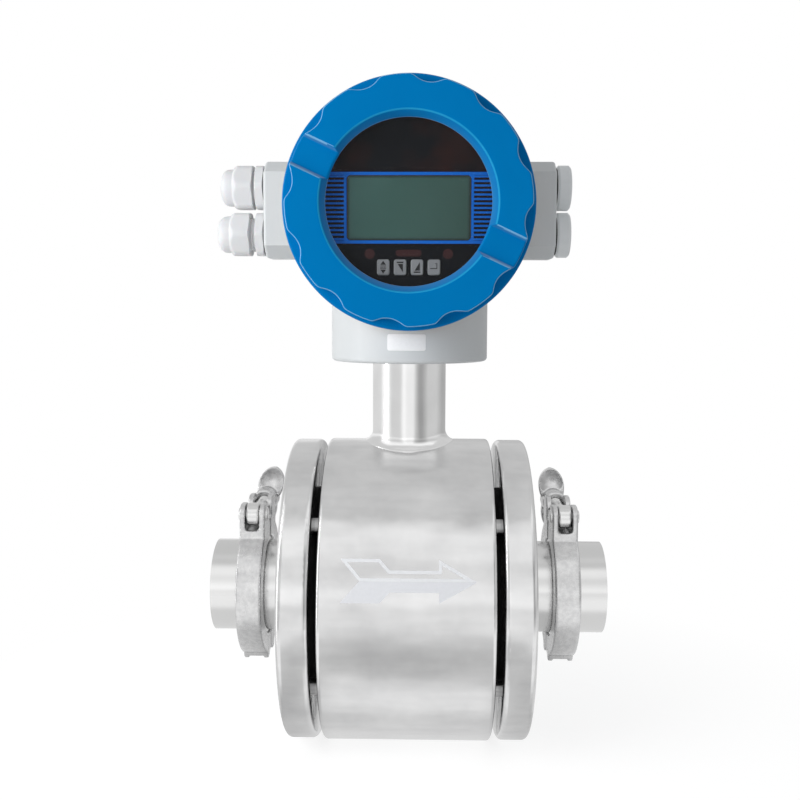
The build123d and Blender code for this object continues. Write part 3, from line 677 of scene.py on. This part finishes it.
def cover(window, facing):
    """Screwed cover as one closed sheet. Every column runs out from the bore, round the rim, up the grip and over
    the face. Columns beside the groove keep their distance from its middle line at every radius, so that its walls
    run straight; the rest share out the turn between them."""
    near = np.array([0.0, 3.0, 5.2, 6.0, 6.4, 6.7, 7.0, 7.25, 7.5, 7.75, 8.0, 8.3, 8.6, 9.0, 9.8, groove_zone])
    beside = np.concatenate([-near[:0:-1], near])
    free = np.arange(1, 190) / 190
    lateral = np.concatenate([beside, np.full(len(free), groove_zone)])
    share = np.concatenate([np.zeros(len(beside)), free])
    half_turns = np.repeat([0.0, math.pi], len(lateral))
    lateral = np.tile(lateral, 2)
    share = np.tile(share, 2)
    sunk = groove_depth * smooth_step((groove_half_width + groove_wall - np.abs(lateral)) / (2 * groove_wall))
    sunk = np.where(share > 0, 0.0, sunk)

    def angle_at(radius):
        lean = np.arcsin(np.clip(lateral / np.maximum(radius, 1e-3), -1, 1))
        zone = np.arcsin(np.clip(groove_zone / np.maximum(radius, 1e-3), -1, 1))
        return math.radians(groove_deg) + half_turns + lean + share * (math.pi - 2 * zone)

    ones = np.ones(len(lateral))
    grip = grip_radius(angle_at(lobe_radius * ones))
    top = cover_face - sunk
    rim_end = cover_back + rim_thickness
    ceiling = cover_face - roof_thickness
    rows = []

    def row(radius, depth):
        rows.append((radius * ones, depth * ones))

    def arc(middle_radius, middle_depth, size, first_deg, last_deg, steps=5):
        for deg in np.linspace(first_deg, last_deg, steps + 1):
            a = math.radians(deg)
            row(middle_radius + size * math.cos(a), middle_depth + size * math.sin(a))

    row(thread_bore, ceiling)
    row(thread_bore, ceiling - 0.5)
    row(thread_bore, cover_back + 0.5)
    row(thread_bore, cover_back)
    row(rim_radius - rim_edge - 0.5, cover_back)
    arc(rim_radius - rim_edge, cover_back + rim_edge, rim_edge, -90, 0)
    row(rim_radius, cover_back + rim_edge + 0.5)
    row(rim_radius, rim_end - rim_edge - 0.5)
    arc(rim_radius - rim_edge, rim_end - rim_edge, rim_edge, 0, 90)
    arc(grip + grip_foot, rim_end + grip_foot, grip_foot, -90, -180, 4)
    for t in (0.1, 0.5, 0.9):
        row(grip, rim_end + grip_foot + t * (top - grip_edge - rim_end - grip_foot))
    arc(grip - grip_edge, top - grip_edge, grip_edge, 0, 90, 6)
    row(grip - grip_edge - 0.4, top)
    if window:
        slope = (window_face_radius - window_glass_radius) / (cover_face - ceiling - window_lip)
        edge_radius = window_face_radius - sunk * slope
        for t in (0.25, 0.5, 0.75, 1.0):
            row(grip - grip_edge - 0.4 + t * (edge_radius + window_edge + 0.4 - grip + grip_edge), top)
        reach = window_edge / math.hypot(slope, 1.0)
        for t in np.linspace(0, 1, 6):
            outward = (1 - t) ** 2 * window_edge - t**2 * reach * slope
            row(edge_radius + outward, top - t**2 * reach)
        row(edge_radius - (reach + 0.3) * slope, top - reach - 0.3)
        row(window_glass_radius + 0.2 * slope, ceiling + window_lip + 0.2)
        row(window_glass_radius, ceiling + window_lip - 0.15)
        row(window_glass_radius, ceiling)
        row(window_glass_radius + 0.5, ceiling)
        row(thread_bore - 0.5, ceiling)
    else:
        for radius in (52.0, 44.0, 39.6, 39.1, 38.9, 38.7, 38.5, 38.3, 38.1, 37.6, 30.0, 20.0, 12.0):
            row(radius, cover_face - sunk * smooth_step((radius - groove_end + 0.4) / 0.8))
        row(0.0, cover_face)
    radii, depths = np.moveaxis(np.array(rows), 1, 0)
    angles = np.array([angle_at(radius) for radius in radii])
    x = -facing * radii * np.cos(angles)
    z = head_z + radii * np.sin(angles)
    grid = np.stack([x, facing * depths, z], -1)
    if window:
        return Skin().sheet(grid, round_rows=True)
    middle = np.broadcast_to([0.0, facing * ceiling, head_z], grid[:1].shape)
    return Skin().sheet(np.concatenate([middle, grid]))


def paint_cover_edge_highlights(mesh, grip_highlight_finish, window_highlight_finish):
    """Gives a cover's rounded edges their paler finishes, a painted highlight along the grip's front edge and round
    the window, by radius and by tilt in degrees from Y.
    """
    mesh.materials.append(grip_highlight_finish)
    mesh.materials.append(window_highlight_finish)
    middle = np.empty(3 * len(mesh.polygons))
    normal = np.empty_like(middle)
    mesh.polygons.foreach_get("center", middle)
    mesh.polygons.foreach_get("normal", normal)
    middle = middle.reshape(-1, 3) / MM
    tilt = np.degrees(np.arccos(np.clip(np.abs(normal.reshape(-1, 3)[:, 1]), 0, 1)))
    radius = np.hypot(middle[:, 0], middle[:, 2] - head_z)
    at_face = cover_face - np.abs(middle[:, 1]) < window_edge
    # Faces of the grip's rounded front edge and of the window's rounded edge get a paler blue: a painted highlight.
    grip_highlight_mask = at_face & (radius > 47) & (tilt > 28) & (tilt < 72)
    window_highlight_mask = at_face & (radius > 43.9) & (radius < 46) & (tilt > 12) & (tilt < 42)
    mesh.polygons.foreach_set("material_index", np.where(window_highlight_mask, 2, grip_highlight_mask).astype(np.int32))
    mesh.update()


def neck():
    """Neck tube whose foot flares in a weld. The foot rests on the barrel, whose height at a point is the square
    root of the barrel radius squared less the point's Y squared, and the weld is a quarter arc above that."""
    angles = turn(160)
    uneven = 1 + 0.05 * np.sin(3 * angles + 0.7) + 0.035 * np.sin(7 * angles) + 0.02 * np.sin(13 * angles + 2)
    top = box_mm("neck_tube")[1][2]
    rows = []

    def level(radius, height):
        rows.append((radius + 0 * angles, height + 0 * angles))

    def on_barrel(radius, above):
        level(radius, np.sqrt(barrel_radius**2 - (radius * np.sin(angles)) ** 2) + above)

    level(neck_radius, top)
    level(neck_radius, top - 1.0)
    level(neck_radius, barrel_radius + 2 * weld_radius)
    size = weld_radius * uneven
    on_barrel(neck_radius, size + 1.0)
    last = math.acos(1 - weld_leg / weld_radius)
    for a in np.linspace(0, last, 12):
        on_barrel(neck_radius + size * (1 - math.cos(a)), size * (1 - math.sin(a)))
    toe = neck_radius + size * (1 - math.cos(last))
    on_barrel(toe + 0.12, 0.1)
    on_barrel(toe + 0.12, -0.5)
    on_barrel(neck_radius - neck_wall, -0.5)
    level(neck_radius - neck_wall, barrel_radius + weld_radius)
    level(neck_radius - neck_wall, top)
    radii, heights = np.moveaxis(np.array(rows), 1, 0)
    grid = np.stack([radii * np.cos(angles), radii * np.sin(angles), heights], -1)
    return Skin().sheet(grid, round_rows=True)


def corner(x, radius, size, first_deg, last_deg):
    """Stations of a rounded corner about (x, radius), on the hexagon."""
    turns = np.radians(np.linspace(first_deg, last_deg, 5))
    return [(x + size * math.cos(a), radius + size * math.sin(a), True) for a in turns]


def hex_rows(stations, count=144):
    """Grid about X: at each (x, radius, hexed) the outline is the softer of the circle and a hexagon with flats at
    top and bottom, whose distance from the middle is half its width over the cosine of the angle from a flat."""
    angles = turn(count)
    sixth = math.pi / 3
    off = (angles - math.pi / 2 + sixth / 2) % sixth - sixth / 2
    side = gland_flats / 2 / np.cos(off)
    rows = []
    for x, radius, hexed in stations:
        outline = soft_min(np.full(count, radius), side, 0.18) if hexed else radius + 0 * angles
        rows.append(round_x(x, outline, angles))
    return np.array(rows)


def thread_grid(low, high, root, depth, pitch, count=48, taper=0.6):
    """Helical ridge about X: the radius swings between root and crest with x over the pitch, less the angle."""
    rows = int((high - low) / pitch * 8)
    x = np.linspace(low, high, rows + 1)[:, None]
    angles = turn(count)[None]
    phase = (x / pitch - angles / (2 * math.pi)) % 1.0
    ridge = smooth_step(1 - np.abs(2 * phase - 1) * 1.15)
    ends = smooth_step((x - low) / taper) * smooth_step((high - x) / taper)
    return round_x(x, root + depth * ridge * ends, angles)


def gland_nut(name):
    """Cap nut: hexagon, soft shoulder and dome with an open mouth, and ratchet teeth round its inner rim."""
    low, high = box_mm(f"gland_nut_{name}")
    end, start = low[0], high[0]
    hex_end = start - 10.3
    bore = gland_thread_radius + 0.05
    outer, mouth = gland_corner_radius, gland_mouth_radius
    stations = [(start, bore + 0.1, False), (start, bore + 0.9, False), (start, outer - 1.5, True)]
    stations += corner(start - 0.5, outer - 0.5, 0.5, 0, 90)
    stations += [(start - t, outer, True) for t in (0.8, 4.0, 7.4)]
    stations += [(hex_end + 2.4 * (1 - t), outer - 1.55 * t**1.6, True) for t in np.linspace(0, 1, 10)]
    dome = rounded((hex_end, 10.9), (hex_end - 0.25, 10.0, 0.3), (end, 9.7, 4.4), (end, mouth + 0.4), steps=8)
    inside = [(end + 0.4, mouth), (end + 2.6, mouth), (end + 2.6, mouth + 1.5), (seal_chamber_end, mouth + 1.5)]
    inside += [(seal_chamber_end, bore), (start - 0.3, bore)]
    stations += [(x, radius, False) for x, radius in [*dome[1:], *inside]]
    grid = hex_rows(stations)
    angles = turn(grid.shape[1])
    teeth = 0.35 * smooth_step(np.abs((angles * 36 / (2 * math.pi)) % 1.0 - 0.5) * 4 - 0.6)
    grid[1:3, :, 0] -= teeth * 0.5
    grid[..., 1:] += (low[1:] + high[1:]) / 2
    return Skin().sheet(grid, round_rows=True)


def gland_body(name):
    """Gland body: hexagonal flange with soft corners, and a coarse thread outside it."""
    low, high = box_mm(f"gland_body_{name}")
    end = low[0]
    flange_start = housing_low[0] - gland_flange_gap
    flange_end = flange_start - gland_flange_width
    outer = gland_corner_radius
    inner = 6.2
    pocket = 7.2
    pocket_end = end + 4.8
    stations = [(high[0], inner + 0.3, False), (high[0], 9.5, False), (high[0] - 0.5, 9.9, False)]
    stations += [(flange_start, 9.9, False), (flange_start, 10.5, False), (flange_start, outer - 1.2, True)]
    stations += corner(flange_start - 0.6, outer - 0.6, 0.6, 0, 90)
    stations += corner(flange_end + 0.6, outer - 0.6, 0.6, 90, 180)
    stations += [(flange_end, outer - 1.2, True), (flange_end, 10.2, False), (flange_end, 8.6, False)]
    head = hex_rows(stations, 96)
    ridges = thread_grid(end + 0.2, flange_end - 0.2, 8.5, 0.8, gland_thread_pitch, 96)[::-1]
    tail = [(end, 8.3, False), (end, pocket + 0.1, False), (pocket_end, pocket, False), (pocket_end, inner, False)]
    grid = np.concatenate([head, ridges, hex_rows(tail, 96)])
    grid[..., 1:] += (low[1:] + high[1:]) / 2
    return Skin().sheet(grid, round_rows=True)


def swing_bolt(name):
    """Eye bolt: a rounded ring on the pin, and a shank along Y with a rolled thread and a tapered tip."""
    low, high = box_mm(f"swing_bolt_{name}")
    x = (low[0] + high[0]) / 2
    z = (low[2] + high[2]) / 2
    pin_y = low[1] + eye_radius
    half = eye_width / 2
    section = [(end * half, radius, edge) for end, radius, edge in (
        (-1, pin_hole_radius, 0.3), (-1, eye_radius, 1.3), (1, eye_radius, 1.3), (1, pin_hole_radius, 0.3)
    )]
    ring = rounded(*section, closed=True)
    skin = Skin().sheet(turned(ring, (x, pin_y, z), 72), round_rows=True)
    start = pin_y + 4.2
    shank = [(start, 0.0), (start, shank_radius - 0.2), (start + 0.3, shank_radius)]
    shank += [(shank_thread_start - 0.4, shank_radius), (shank_thread_start, shank_radius - 0.4)]
    root = shank_radius - shank_thread_depth
    ridges = thread_grid(shank_thread_start, shank_end - 0.6, root, shank_thread_depth, shank_thread_pitch)
    tip = turned([(shank_end - 0.1, root - 0.4), (shank_end, root - 0.7), (shank_end, 0.0)])
    rod = np.concatenate([turned(shank), ridges, tip])
    rod = np.stack([rod[..., 1] + x, rod[..., 0], rod[..., 2] + z], -1)
    return skin.sheet(rod)


def plate(skin, points, y_front=None, thickness=print_film):
    """Adds a thin plate that faces -Y, from its outline in (x, z). It lies on the panel unless a place is given."""
    points = np.asarray(points, float)
    y_front = panel_front - thickness if y_front is None else y_front
    front = np.stack([points[:, 0], np.full(len(points), y_front), points[:, 1]], -1)
    skin.prism(front, front + [0.0, thickness, 0.0])


def rectangle(x_low, x_high, z_low, z_high):
    """The four corners between two places on each axis, in turn."""
    return [(x_low, z_low), (x_high, z_low), (x_high, z_high), (x_low, z_high)]


def band_to_circle(side, x_start, z_low, z_high):
    """Strip between two heights, from an upright edge out to the printed circle about the head's centre."""
    heights = np.linspace(z_low, z_high, 5)
    reach = np.sqrt(print_radius**2 - (heights - head_z) ** 2)
    edge = [(side * r, h) for r, h in zip(reach, heights)]
    return [(side * x_start, z_high), (side * x_start, z_low)] + edge


def display_print():
    """Blue frame with dark louvre stripes round the cell, and the dark red windows below it."""
    cell_half = cell_high[0]
    frame_top = cell_high[2] + frame_height
    frame_bottom = cell_low[2] - frame_height
    pitch = (frame_top - frame_bottom) / stripe_count
    bar_start = cell_half + 0.35
    bar_end = bar_start + frame_bar
    corner_middle = (cell_low[2] + cell_high[2]) / 2
    corner_reach = (cell_high[2] - cell_low[2]) / 2 + 0.225
    blue = Skin()
    for z_low, z_high in ((cell_high[2] + 0.15, frame_top), (frame_bottom, cell_low[2] - 0.15)):
        plate(blue, band_to_circle(1, 0.0, z_low, z_high))
        plate(blue, band_to_circle(-1, 0.0, z_low, z_high))
    for side in (-1, 1):
        for up in (-1, 1):
            x, z = side * (cell_half + 0.4), corner_middle + up * corner_reach
            outline = [(x, z)]
            for a in np.linspace(0, math.pi / 2, 7):
                inwards, down = frame_corner * (1 - math.cos(a)), frame_corner * (1 - math.sin(a))
                outline.append((x - side * inwards, z - up * down))
            plate(blue, outline)
    for side in (-1, 1):
        bar = rectangle(*sorted((side * bar_start, side * bar_end)), frame_bottom, frame_top)
        plate(blue, bar, panel_front - 0.06)
        for k in range(1, stripe_count):
            z = frame_bottom + k * pitch
            plate(blue, band_to_circle(side, bar_end, z - stripe_share / 2 * pitch, z + stripe_share / 2 * pitch))
    make("display_frame_print", blue, "root", print_ink("frame_blue", (0.0, 0.125, 0.56)))
    red = Skin()
    angles = turn(28)
    circle = eye_window_radius * np.stack([np.cos(angles), np.sin(angles)], -1)
    for x in eye_places:
        plate(red, circle + [x, head_z - eye_drop])
    pill = rectangle(-pill_half_width, pill_half_width, head_z + pill_bottom, head_z + pill_top)
    end_radius = 0.499 * (pill_top - pill_bottom)
    plate(red, rounded(*[(x, z, end_radius) for x, z in pill], closed=True))
    make("display_sensor_windows", red, "root", print_ink("window_red", (0.026, 0.003, 0.004), 0.35))


def keys():
    """Dark generic signs printed on the four key caps, each as (x, z) outlines about the key's middle."""
    arrow_up = [(-1.3, 1.1), (1.3, 1.1), (0.0, 2.9)]
    arrow_down = [(-x, -z) for x, z in arrow_up]
    bars = [rectangle(-1.35, 1.35, z - 0.14, z + 0.14) for z in (-0.6, 0.0, 0.6)]
    top_bar = rectangle(-1.5, 1.5, 1.9, 2.5)
    slope_down = [(-1.1, 1.5), (1.3, 1.5), (1.3, -2.4)]
    hook = [rectangle(1.15, 1.5, -0.35, 1.5), rectangle(0.55, 1.5, 1.5, 1.8)]
    signs = {
        "scroll": [arrow_up, arrow_down, *bars],
        "down": [top_bar, slope_down],
        "up": [[(-x, -z) for x, z in top_bar], [(-1.1, -1.5), (1.3, -1.5), (1.3, 2.4)]],
        "enter": [rectangle(-1.7, 1.5, -0.75, -0.35), *hook],
    }
    ink = print_ink("key_ink", (0.015, 0.015, 0.016), 0.5)
    for name, marks in signs.items():
        low, high = box_mm(f"key_{name}")
        skin = Skin()
        for mark in marks:
            outline = np.array(mark) * sign_scale + (low[::2] + high[::2]) / 2
            plate(skin, outline, low[1] - 0.04, 0.06)
        make(f"key_{name}_mark", skin, f"{name}_key", ink)


def on_barrel_front(x, height, lift):
    """Points on the barrel's front, or above it, at the given heights."""
    return np.stack([x, -np.sqrt((barrel_radius + lift) ** 2 - height**2), height], -1)


def flow_arrow():
    """Etched outline of the arrow's upper half: a ribbon of even width, mitred at its corners, on the barrel."""
    corners = [(arrow_back, arrow_tail), (arrow_flight, arrow_tail), (arrow_start, arrow_shaft)]
    corners += [(arrow_neck, arrow_shaft), (arrow_neck, arrow_head), (arrow_tip, 0.0), (arrow_notch, 0.0)]
    corners = np.array(corners) + [0.0, arrow_z]
    before = corners - np.roll(corners, 1, 0)
    after = np.roll(corners, -1, 0) - corners
    before /= np.linalg.norm(before, axis=1)[:, None]
    after /= np.linalg.norm(after, axis=1)[:, None]
    normal = np.stack([-before[:, 1] - after[:, 1], before[:, 0] + after[:, 0]], -1)
    normal /= np.sum(normal * np.stack([-before[:, 1], before[:, 0]], -1), axis=1)[:, None]
    t = np.arange(12)[:, None, None] / 12
    lines = []
    for line in (corners, corners - normal * arrow_line):
        steps = line[None] * (1 - t) + np.roll(line, -1, 0)[None] * t
        lines.append(np.swapaxes(steps, 0, 1).reshape(-1, 2))
    outer, inner = lines
    middle = (outer + inner) / 2
    ring = [(outer, 0.0), *((line, print_film) for line in (outer, middle, inner)), (inner, 0.0)]
    grid = np.stack([on_barrel_front(line[:, 0], line[:, 1], lift) for line, lift in ring], 1)
    return Skin().sheet(grid, round_rows=True)


def flow_arrow_fill():
    """Pale film over the lower half of the arrow, in strips that follow the barrel: tail, shaft and head. Each has
    its ends' places along X as they change with the depth below the middle line."""
    skin = Skin()
    top = arrow_z - 0.05
    flare = (arrow_flight - arrow_start) / (arrow_tail - arrow_shaft)

    def strip(left, right, reach):
        rows = []
        down = np.linspace(top, arrow_z - reach, 9)
        for lift, heights in ((0.0, down), (0.03, down[::-1])):
            for z in heights:
                x = np.linspace(left(arrow_z - z), right(arrow_z - z), 5)
                rows.append(on_barrel_front(x, np.full(5, z), lift))
        skin.sheet(np.array(rows), round_rows=True, round_columns=False)

    strip(
        lambda depth: arrow_notch + (arrow_back - arrow_notch) * depth / arrow_tail,
        lambda depth: arrow_start + flare * max(depth - arrow_shaft, 0),
        arrow_tail,
    )
    strip(lambda depth: arrow_start, lambda depth: arrow_neck, arrow_shaft)
    strip(
        lambda depth: arrow_neck,
        lambda depth: arrow_tip + (arrow_neck - arrow_tip) * depth / arrow_head,
        arrow_head,
    )
    return skin


def spaced(line, step):
    """Closed outline with more points, so that no side is longer than the step."""
    places = []
    for here, there in zip(line, np.roll(line, -1, 0)):
        count = max(1, int(math.ceil(np.linalg.norm(there - here) / step)))
        places += [here + (there - here) * k / count for k in range(count)]
    return np.array(places)


def base_label():
    """Small blank label, rounded at its corners, that follows the housing's round base."""
    middle_x, middle_z = label_middle
    corners = rectangle(-label_half_width, label_half_width, -label_half_height, label_half_height)
    rim = spaced(rounded(*[(x, z, label_corner) for x, z in corners], closed=True, steps=6), 0.8)
    rings = []
    lifts = [(0.0, 0.0), (0.0, 0.5), (0.0, 1.0), (0.10, 1.0)]
    lifts += [(label_lift, size) for size in (0.985, 0.6, 0.2)]
    for lift, size in lifts:
        x = middle_x + rim[:, 0] * size
        y = -np.sqrt((base_radius + lift) ** 2 - x**2)
        rings.append(np.stack([x, y, middle_z + rim[:, 1] * size], -1))
    rings.append(np.broadcast_to([middle_x, -base_radius - label_lift, middle_z], rings[0].shape))
    return Skin().sheet(np.array(rings))


def add_pieces(finishes):
    """Every piece that stands for a solid or lies on one."""
    blue = finishes["blue_paint"]
    for node, window, facing in (("front_cover", True, -1), ("rear_cover", False, 1)):
        make(node + "_skin", cover(window, facing), node + "_turn", blue, [node])
    # Paler blues for the covers' rounded edges, at the grip and round the window: painted highlights.
    pale = paint("blue_edge", (0.11, 0.36, 0.63, 1), (0.17, 0.42, 0.68, 1), 0.22, 0.1, 0.004)
    rim_blue = (0.02, 0.42, 0.90, 1)
    bright = paint("blue_window_edge", (0.01, 0.26, 0.53, 1), (0.02, 0.31, 0.58, 1), 0.25, 0.03, 0.004, rim_blue)
    for node in ("front_cover", "rear_cover"):
        paint_cover_edge_highlights(bpy.data.objects[node + "_skin"].data, pale, bright)
    make("neck_skin", neck(), "root", neck_steel(), ["neck_tube"])
    white = finishes["white_plastic"]
    for name in ("upper", "lower"):
        node = f"gland_nut_{name}"
        make(node + "_skin", gland_nut(name), node + "_turn", white, [node])
        node = f"gland_body_{name}"
        make(node + "_skin", gland_body(name), "root", white, [node])
    steel = finishes["ferrule_steel"]
    castings = [("clamp_front_jaw", 0.5, 5), ("clamp_rear_jaw", 0.5, 5)]
    castings += [("wing_nut", 0.35, 8), ("clamp_link", 0.3, 4)]
    for name in ("left", "right"):
        node = f"swing_bolt_{name}"
        make(node + "_skin", swing_bolt(name), name + "_swing", steel, [node])
        for part, voxel, rounds in castings:
            cast_copy(f"{part}_{name}", finishes["cast_steel"], voxel, rounds)
    etched = print_ink("etched_line", (0.86, 0.87, 0.89), 0.5)
    make("flow_arrow_line", flow_arrow(), "root", etched)
    film = print_ink("etched_film", (0.80, 0.81, 0.84), 0.30)
    make("flow_arrow_fill", flow_arrow_fill(), "root", film)
    label = print_ink("label_white", (0.93, 0.935, 0.94), 0.35)
    make("base_label", base_label(), "root", label)
    display_print()
    keys()


def hide_head_from_reflections():
    """The polished barrel mirrors the room above it and not the head, as in the photograph."""
    for piece in bpy.context.scene.objects:
        if piece.type == "MESH" and min(corner[2] for corner in piece.bound_box) > unmirrored_above * MM:
            piece.visible_glossy = False


def aimed(name, data, place, direction, roll_deg=0.0):
    """New light or camera at a place, in metres, that looks along a direction."""
    made = placed(name, data)
    made.location = place
    made.rotation_mode = "QUATERNION"
    roll = Quaternion(direction, math.radians(roll_deg))
    made.rotation_quaternion = roll @ direction.to_track_quat("-Z", "Y")
    return made


def area_light(name, place, aim, width, height, radiance, mirrored):
    """Panel light of a given brightness, in metres, that faces a point. A mirrored one is seen only in reflections,
    and the others light only matt surfaces."""
    lamp = bpy.data.lights.new(name, "AREA")
    lamp.shape = "RECTANGLE"
    lamp.size = width
    lamp.size_y = height
    lamp.energy = radiance * math.pi * width * height
    light = aimed(name, lamp, place, Vector(aim) - Vector(place))
    light.visible_glossy = mirrored
    light.visible_diffuse = not mirrored


def studio():
    """White surround for the camera, soft fill for matt surfaces, and for reflections a room whose brightness is
    set by height and by direction, in degrees, as bands on polished metal show it. The two are multiplied low in
    the room, and the part above and behind the meter is one even grey."""
    world = bpy.data.worlds.new("studio")
    bpy.context.scene.world = world
    world.use_nodes = True
    world.node_tree.nodes.clear()
    sky = Nodes(world.node_tree)
    x, y, z = sky.split(sky.node("ShaderNodeTexCoord").outputs["Generated"])
    by_height = [(-90, 0.5), (-30, 0.5), (-12, 0.72), (-5, 0.62), (-1, 0.70), (2, 0.84), (8, 0.80), (17, 0.70)]
    by_height += [(24, 0.62), (31, 0.62), (38, 0.73), (53, 0.76), (59, 0.60), (65, 0.46), (72, 0.47), (76, 0.54)]
    by_height += [(88, 0.52)]
    by_height = [(0.5 + 0.5 * math.sin(math.radians(deg)), level) for deg, level in by_height]
    by_turn = [(-180, 0.62), (-100, 0.66), (-84, 0.98), (-70, 0.98), (-58, 0.58), (-26, 0.60), (-18, 0.96)]
    by_turn += [(-6, 0.80), (14, 0.80), (24, 0.48), (34, 0.30), (46, 0.32), (60, 0.54), (95, 0.56)]
    by_turn += [(125, 0.38), (180, 0.40)]
    by_turn = [(0.5 + deg / 360, level) for deg, level in by_turn]
    around = sky.ramp(x.math("ARCTAN2", y * -1.0) / (2 * math.pi) + 0.5, by_turn)
    front = sky.ramp(z * 0.5 + 0.5, by_height) * ((around * 1.25 - 1.0) * (1.0 - z.step(0.45, 0.8)) + 1.0)
    room = front + (0.475 - front) * (y.step(0.0, 0.10) * z.step(0.14, 0.30))

    def background(colour, strength=1.0):
        return sky.node("ShaderNodeBackground", {}, {"Color": colour, "Strength": strength}).outputs[0]

    fill = background((0.97, 0.985, 1.0, 1), 0.48)
    lit = sky.mix(sky.node("ShaderNodeLightPath").outputs["Is Glossy Ray"], fill, background(room * 1.5))
    seen = sky.mix(sky.rays("Is Camera Ray", "Is Transmission Ray"), lit, background(grey(1.0)))
    sky.node("ShaderNodeOutputWorld", {}, {"Surface": seen})
    area_light("left_panel", (-0.66, -0.56, 0.32), (0, 0, 0.12), 0.55, 0.65, 5.2, False)
    area_light("left_strip", (-1.15, -0.28, 0.20), (0, 0, 0.15), 0.06, 1.4, 8.0, True)


def floor():
    """Pale floor under the meter. The camera sees it fade to the white surround, with a soft shadow kept near the
    meter. Reflections see bands that run along the barrel, darker straight under it as a painted contact shadow, a
    grey beside it and a darker patch under each clamp that is painted shade, and further out the room."""
    half = 3.0
    height = -barrel_radius * MM
    mesh = bpy.data.meshes.new("floor")
    mesh.from_pydata([(x, y, height) for x, y in rectangle(-half, half, -half, half)], [], [(0, 1, 2, 3)])
    finish = Finish("floor_white", {"Base Color": grey(0.80), "Roughness": 0.9, "Specular IOR Level": 0.0})
    x, y, _ = finish.split(finish.place)
    radius = (x * x + y * y).math("SQRT")
    along, off = x.size(), y.size()

    def emission(colour, strength=1.0):
        return finish.node("ShaderNodeEmission", {}, {"Color": colour, "Strength": strength}).outputs[0]

    shade = finish.node("ShaderNodeBsdfDiffuse", {}, {"Color": grey(0.34)}).outputs[0]
    lit = finish.node("ShaderNodeAddShader", {}, {0: shade, 1: emission(grey(1.0), 0.79)}).outputs[0]
    near = finish.mix(radius.step(0.13, 0.30), lit, emission(grey(1.0)))
    # Straight under the barrel the bands are darker: a painted contact shadow, seen in reflections.
    bands = [(0.0, 0.84), (0.13, 0.84), (0.165, 1.06), (0.19, 1.06), (0.26, 0.76), (0.33, 0.64), (0.46, 0.75)]
    bands = finish.ramp(off * 2.0, [*bands, (0.60, 0.92), (0.94, 1.08)])
    beside = along.step(0.040, 0.062) * (1.0 - off.step(0.12, 0.22))
    # Darker under each clamp: painted shade of the clamps, seen in reflections.
    clamp_painted_shade = finish.blend(along.step(0.086, 0.104), grey(0.58), grey(0.85))
    by_tube = finish.blend(off.step(0.075, 0.110), clamp_painted_shade, grey(1.14))
    mirrored = finish.blend(along.step(0.070, 0.090), finish.blend(beside, bands, grey(0.67)), by_tube)
    clear = finish.node("ShaderNodeBsdfTransparent").outputs[0]
    room = finish.mix(radius.step(0.30, 0.50), emission(mirrored), clear)
    matt = finish.mix(finish.rays("Is Glossy Ray", "Is Shadow Ray"), finish.shader.outputs[0], room)
    seen = finish.mix(finish.rays("Is Camera Ray", "Is Transmission Ray"), matt, near)
    finish.feed(finish.tree.nodes["Material Output"].inputs["Surface"], seen)
    mesh.materials.append(finish.material)
    placed("floor", mesh)


def camera():
    """Camera at the photograph's place and angle."""
    lens = bpy.data.cameras.new("camera")
    lens.lens = camera_lens
    lens.sensor_width = sensor_width
    lens.clip_start = 0.02
    bpy.context.scene.camera = aimed("camera", lens, camera_place, Vector(camera_aim), camera_roll_deg)


camera()
studio()
floor()
finishes = all_finishes()
dress_solids(finishes)
add_pieces(finishes)
hide_head_from_reflections()
bpy.context.scene.view_settings.view_transform = "Standard"
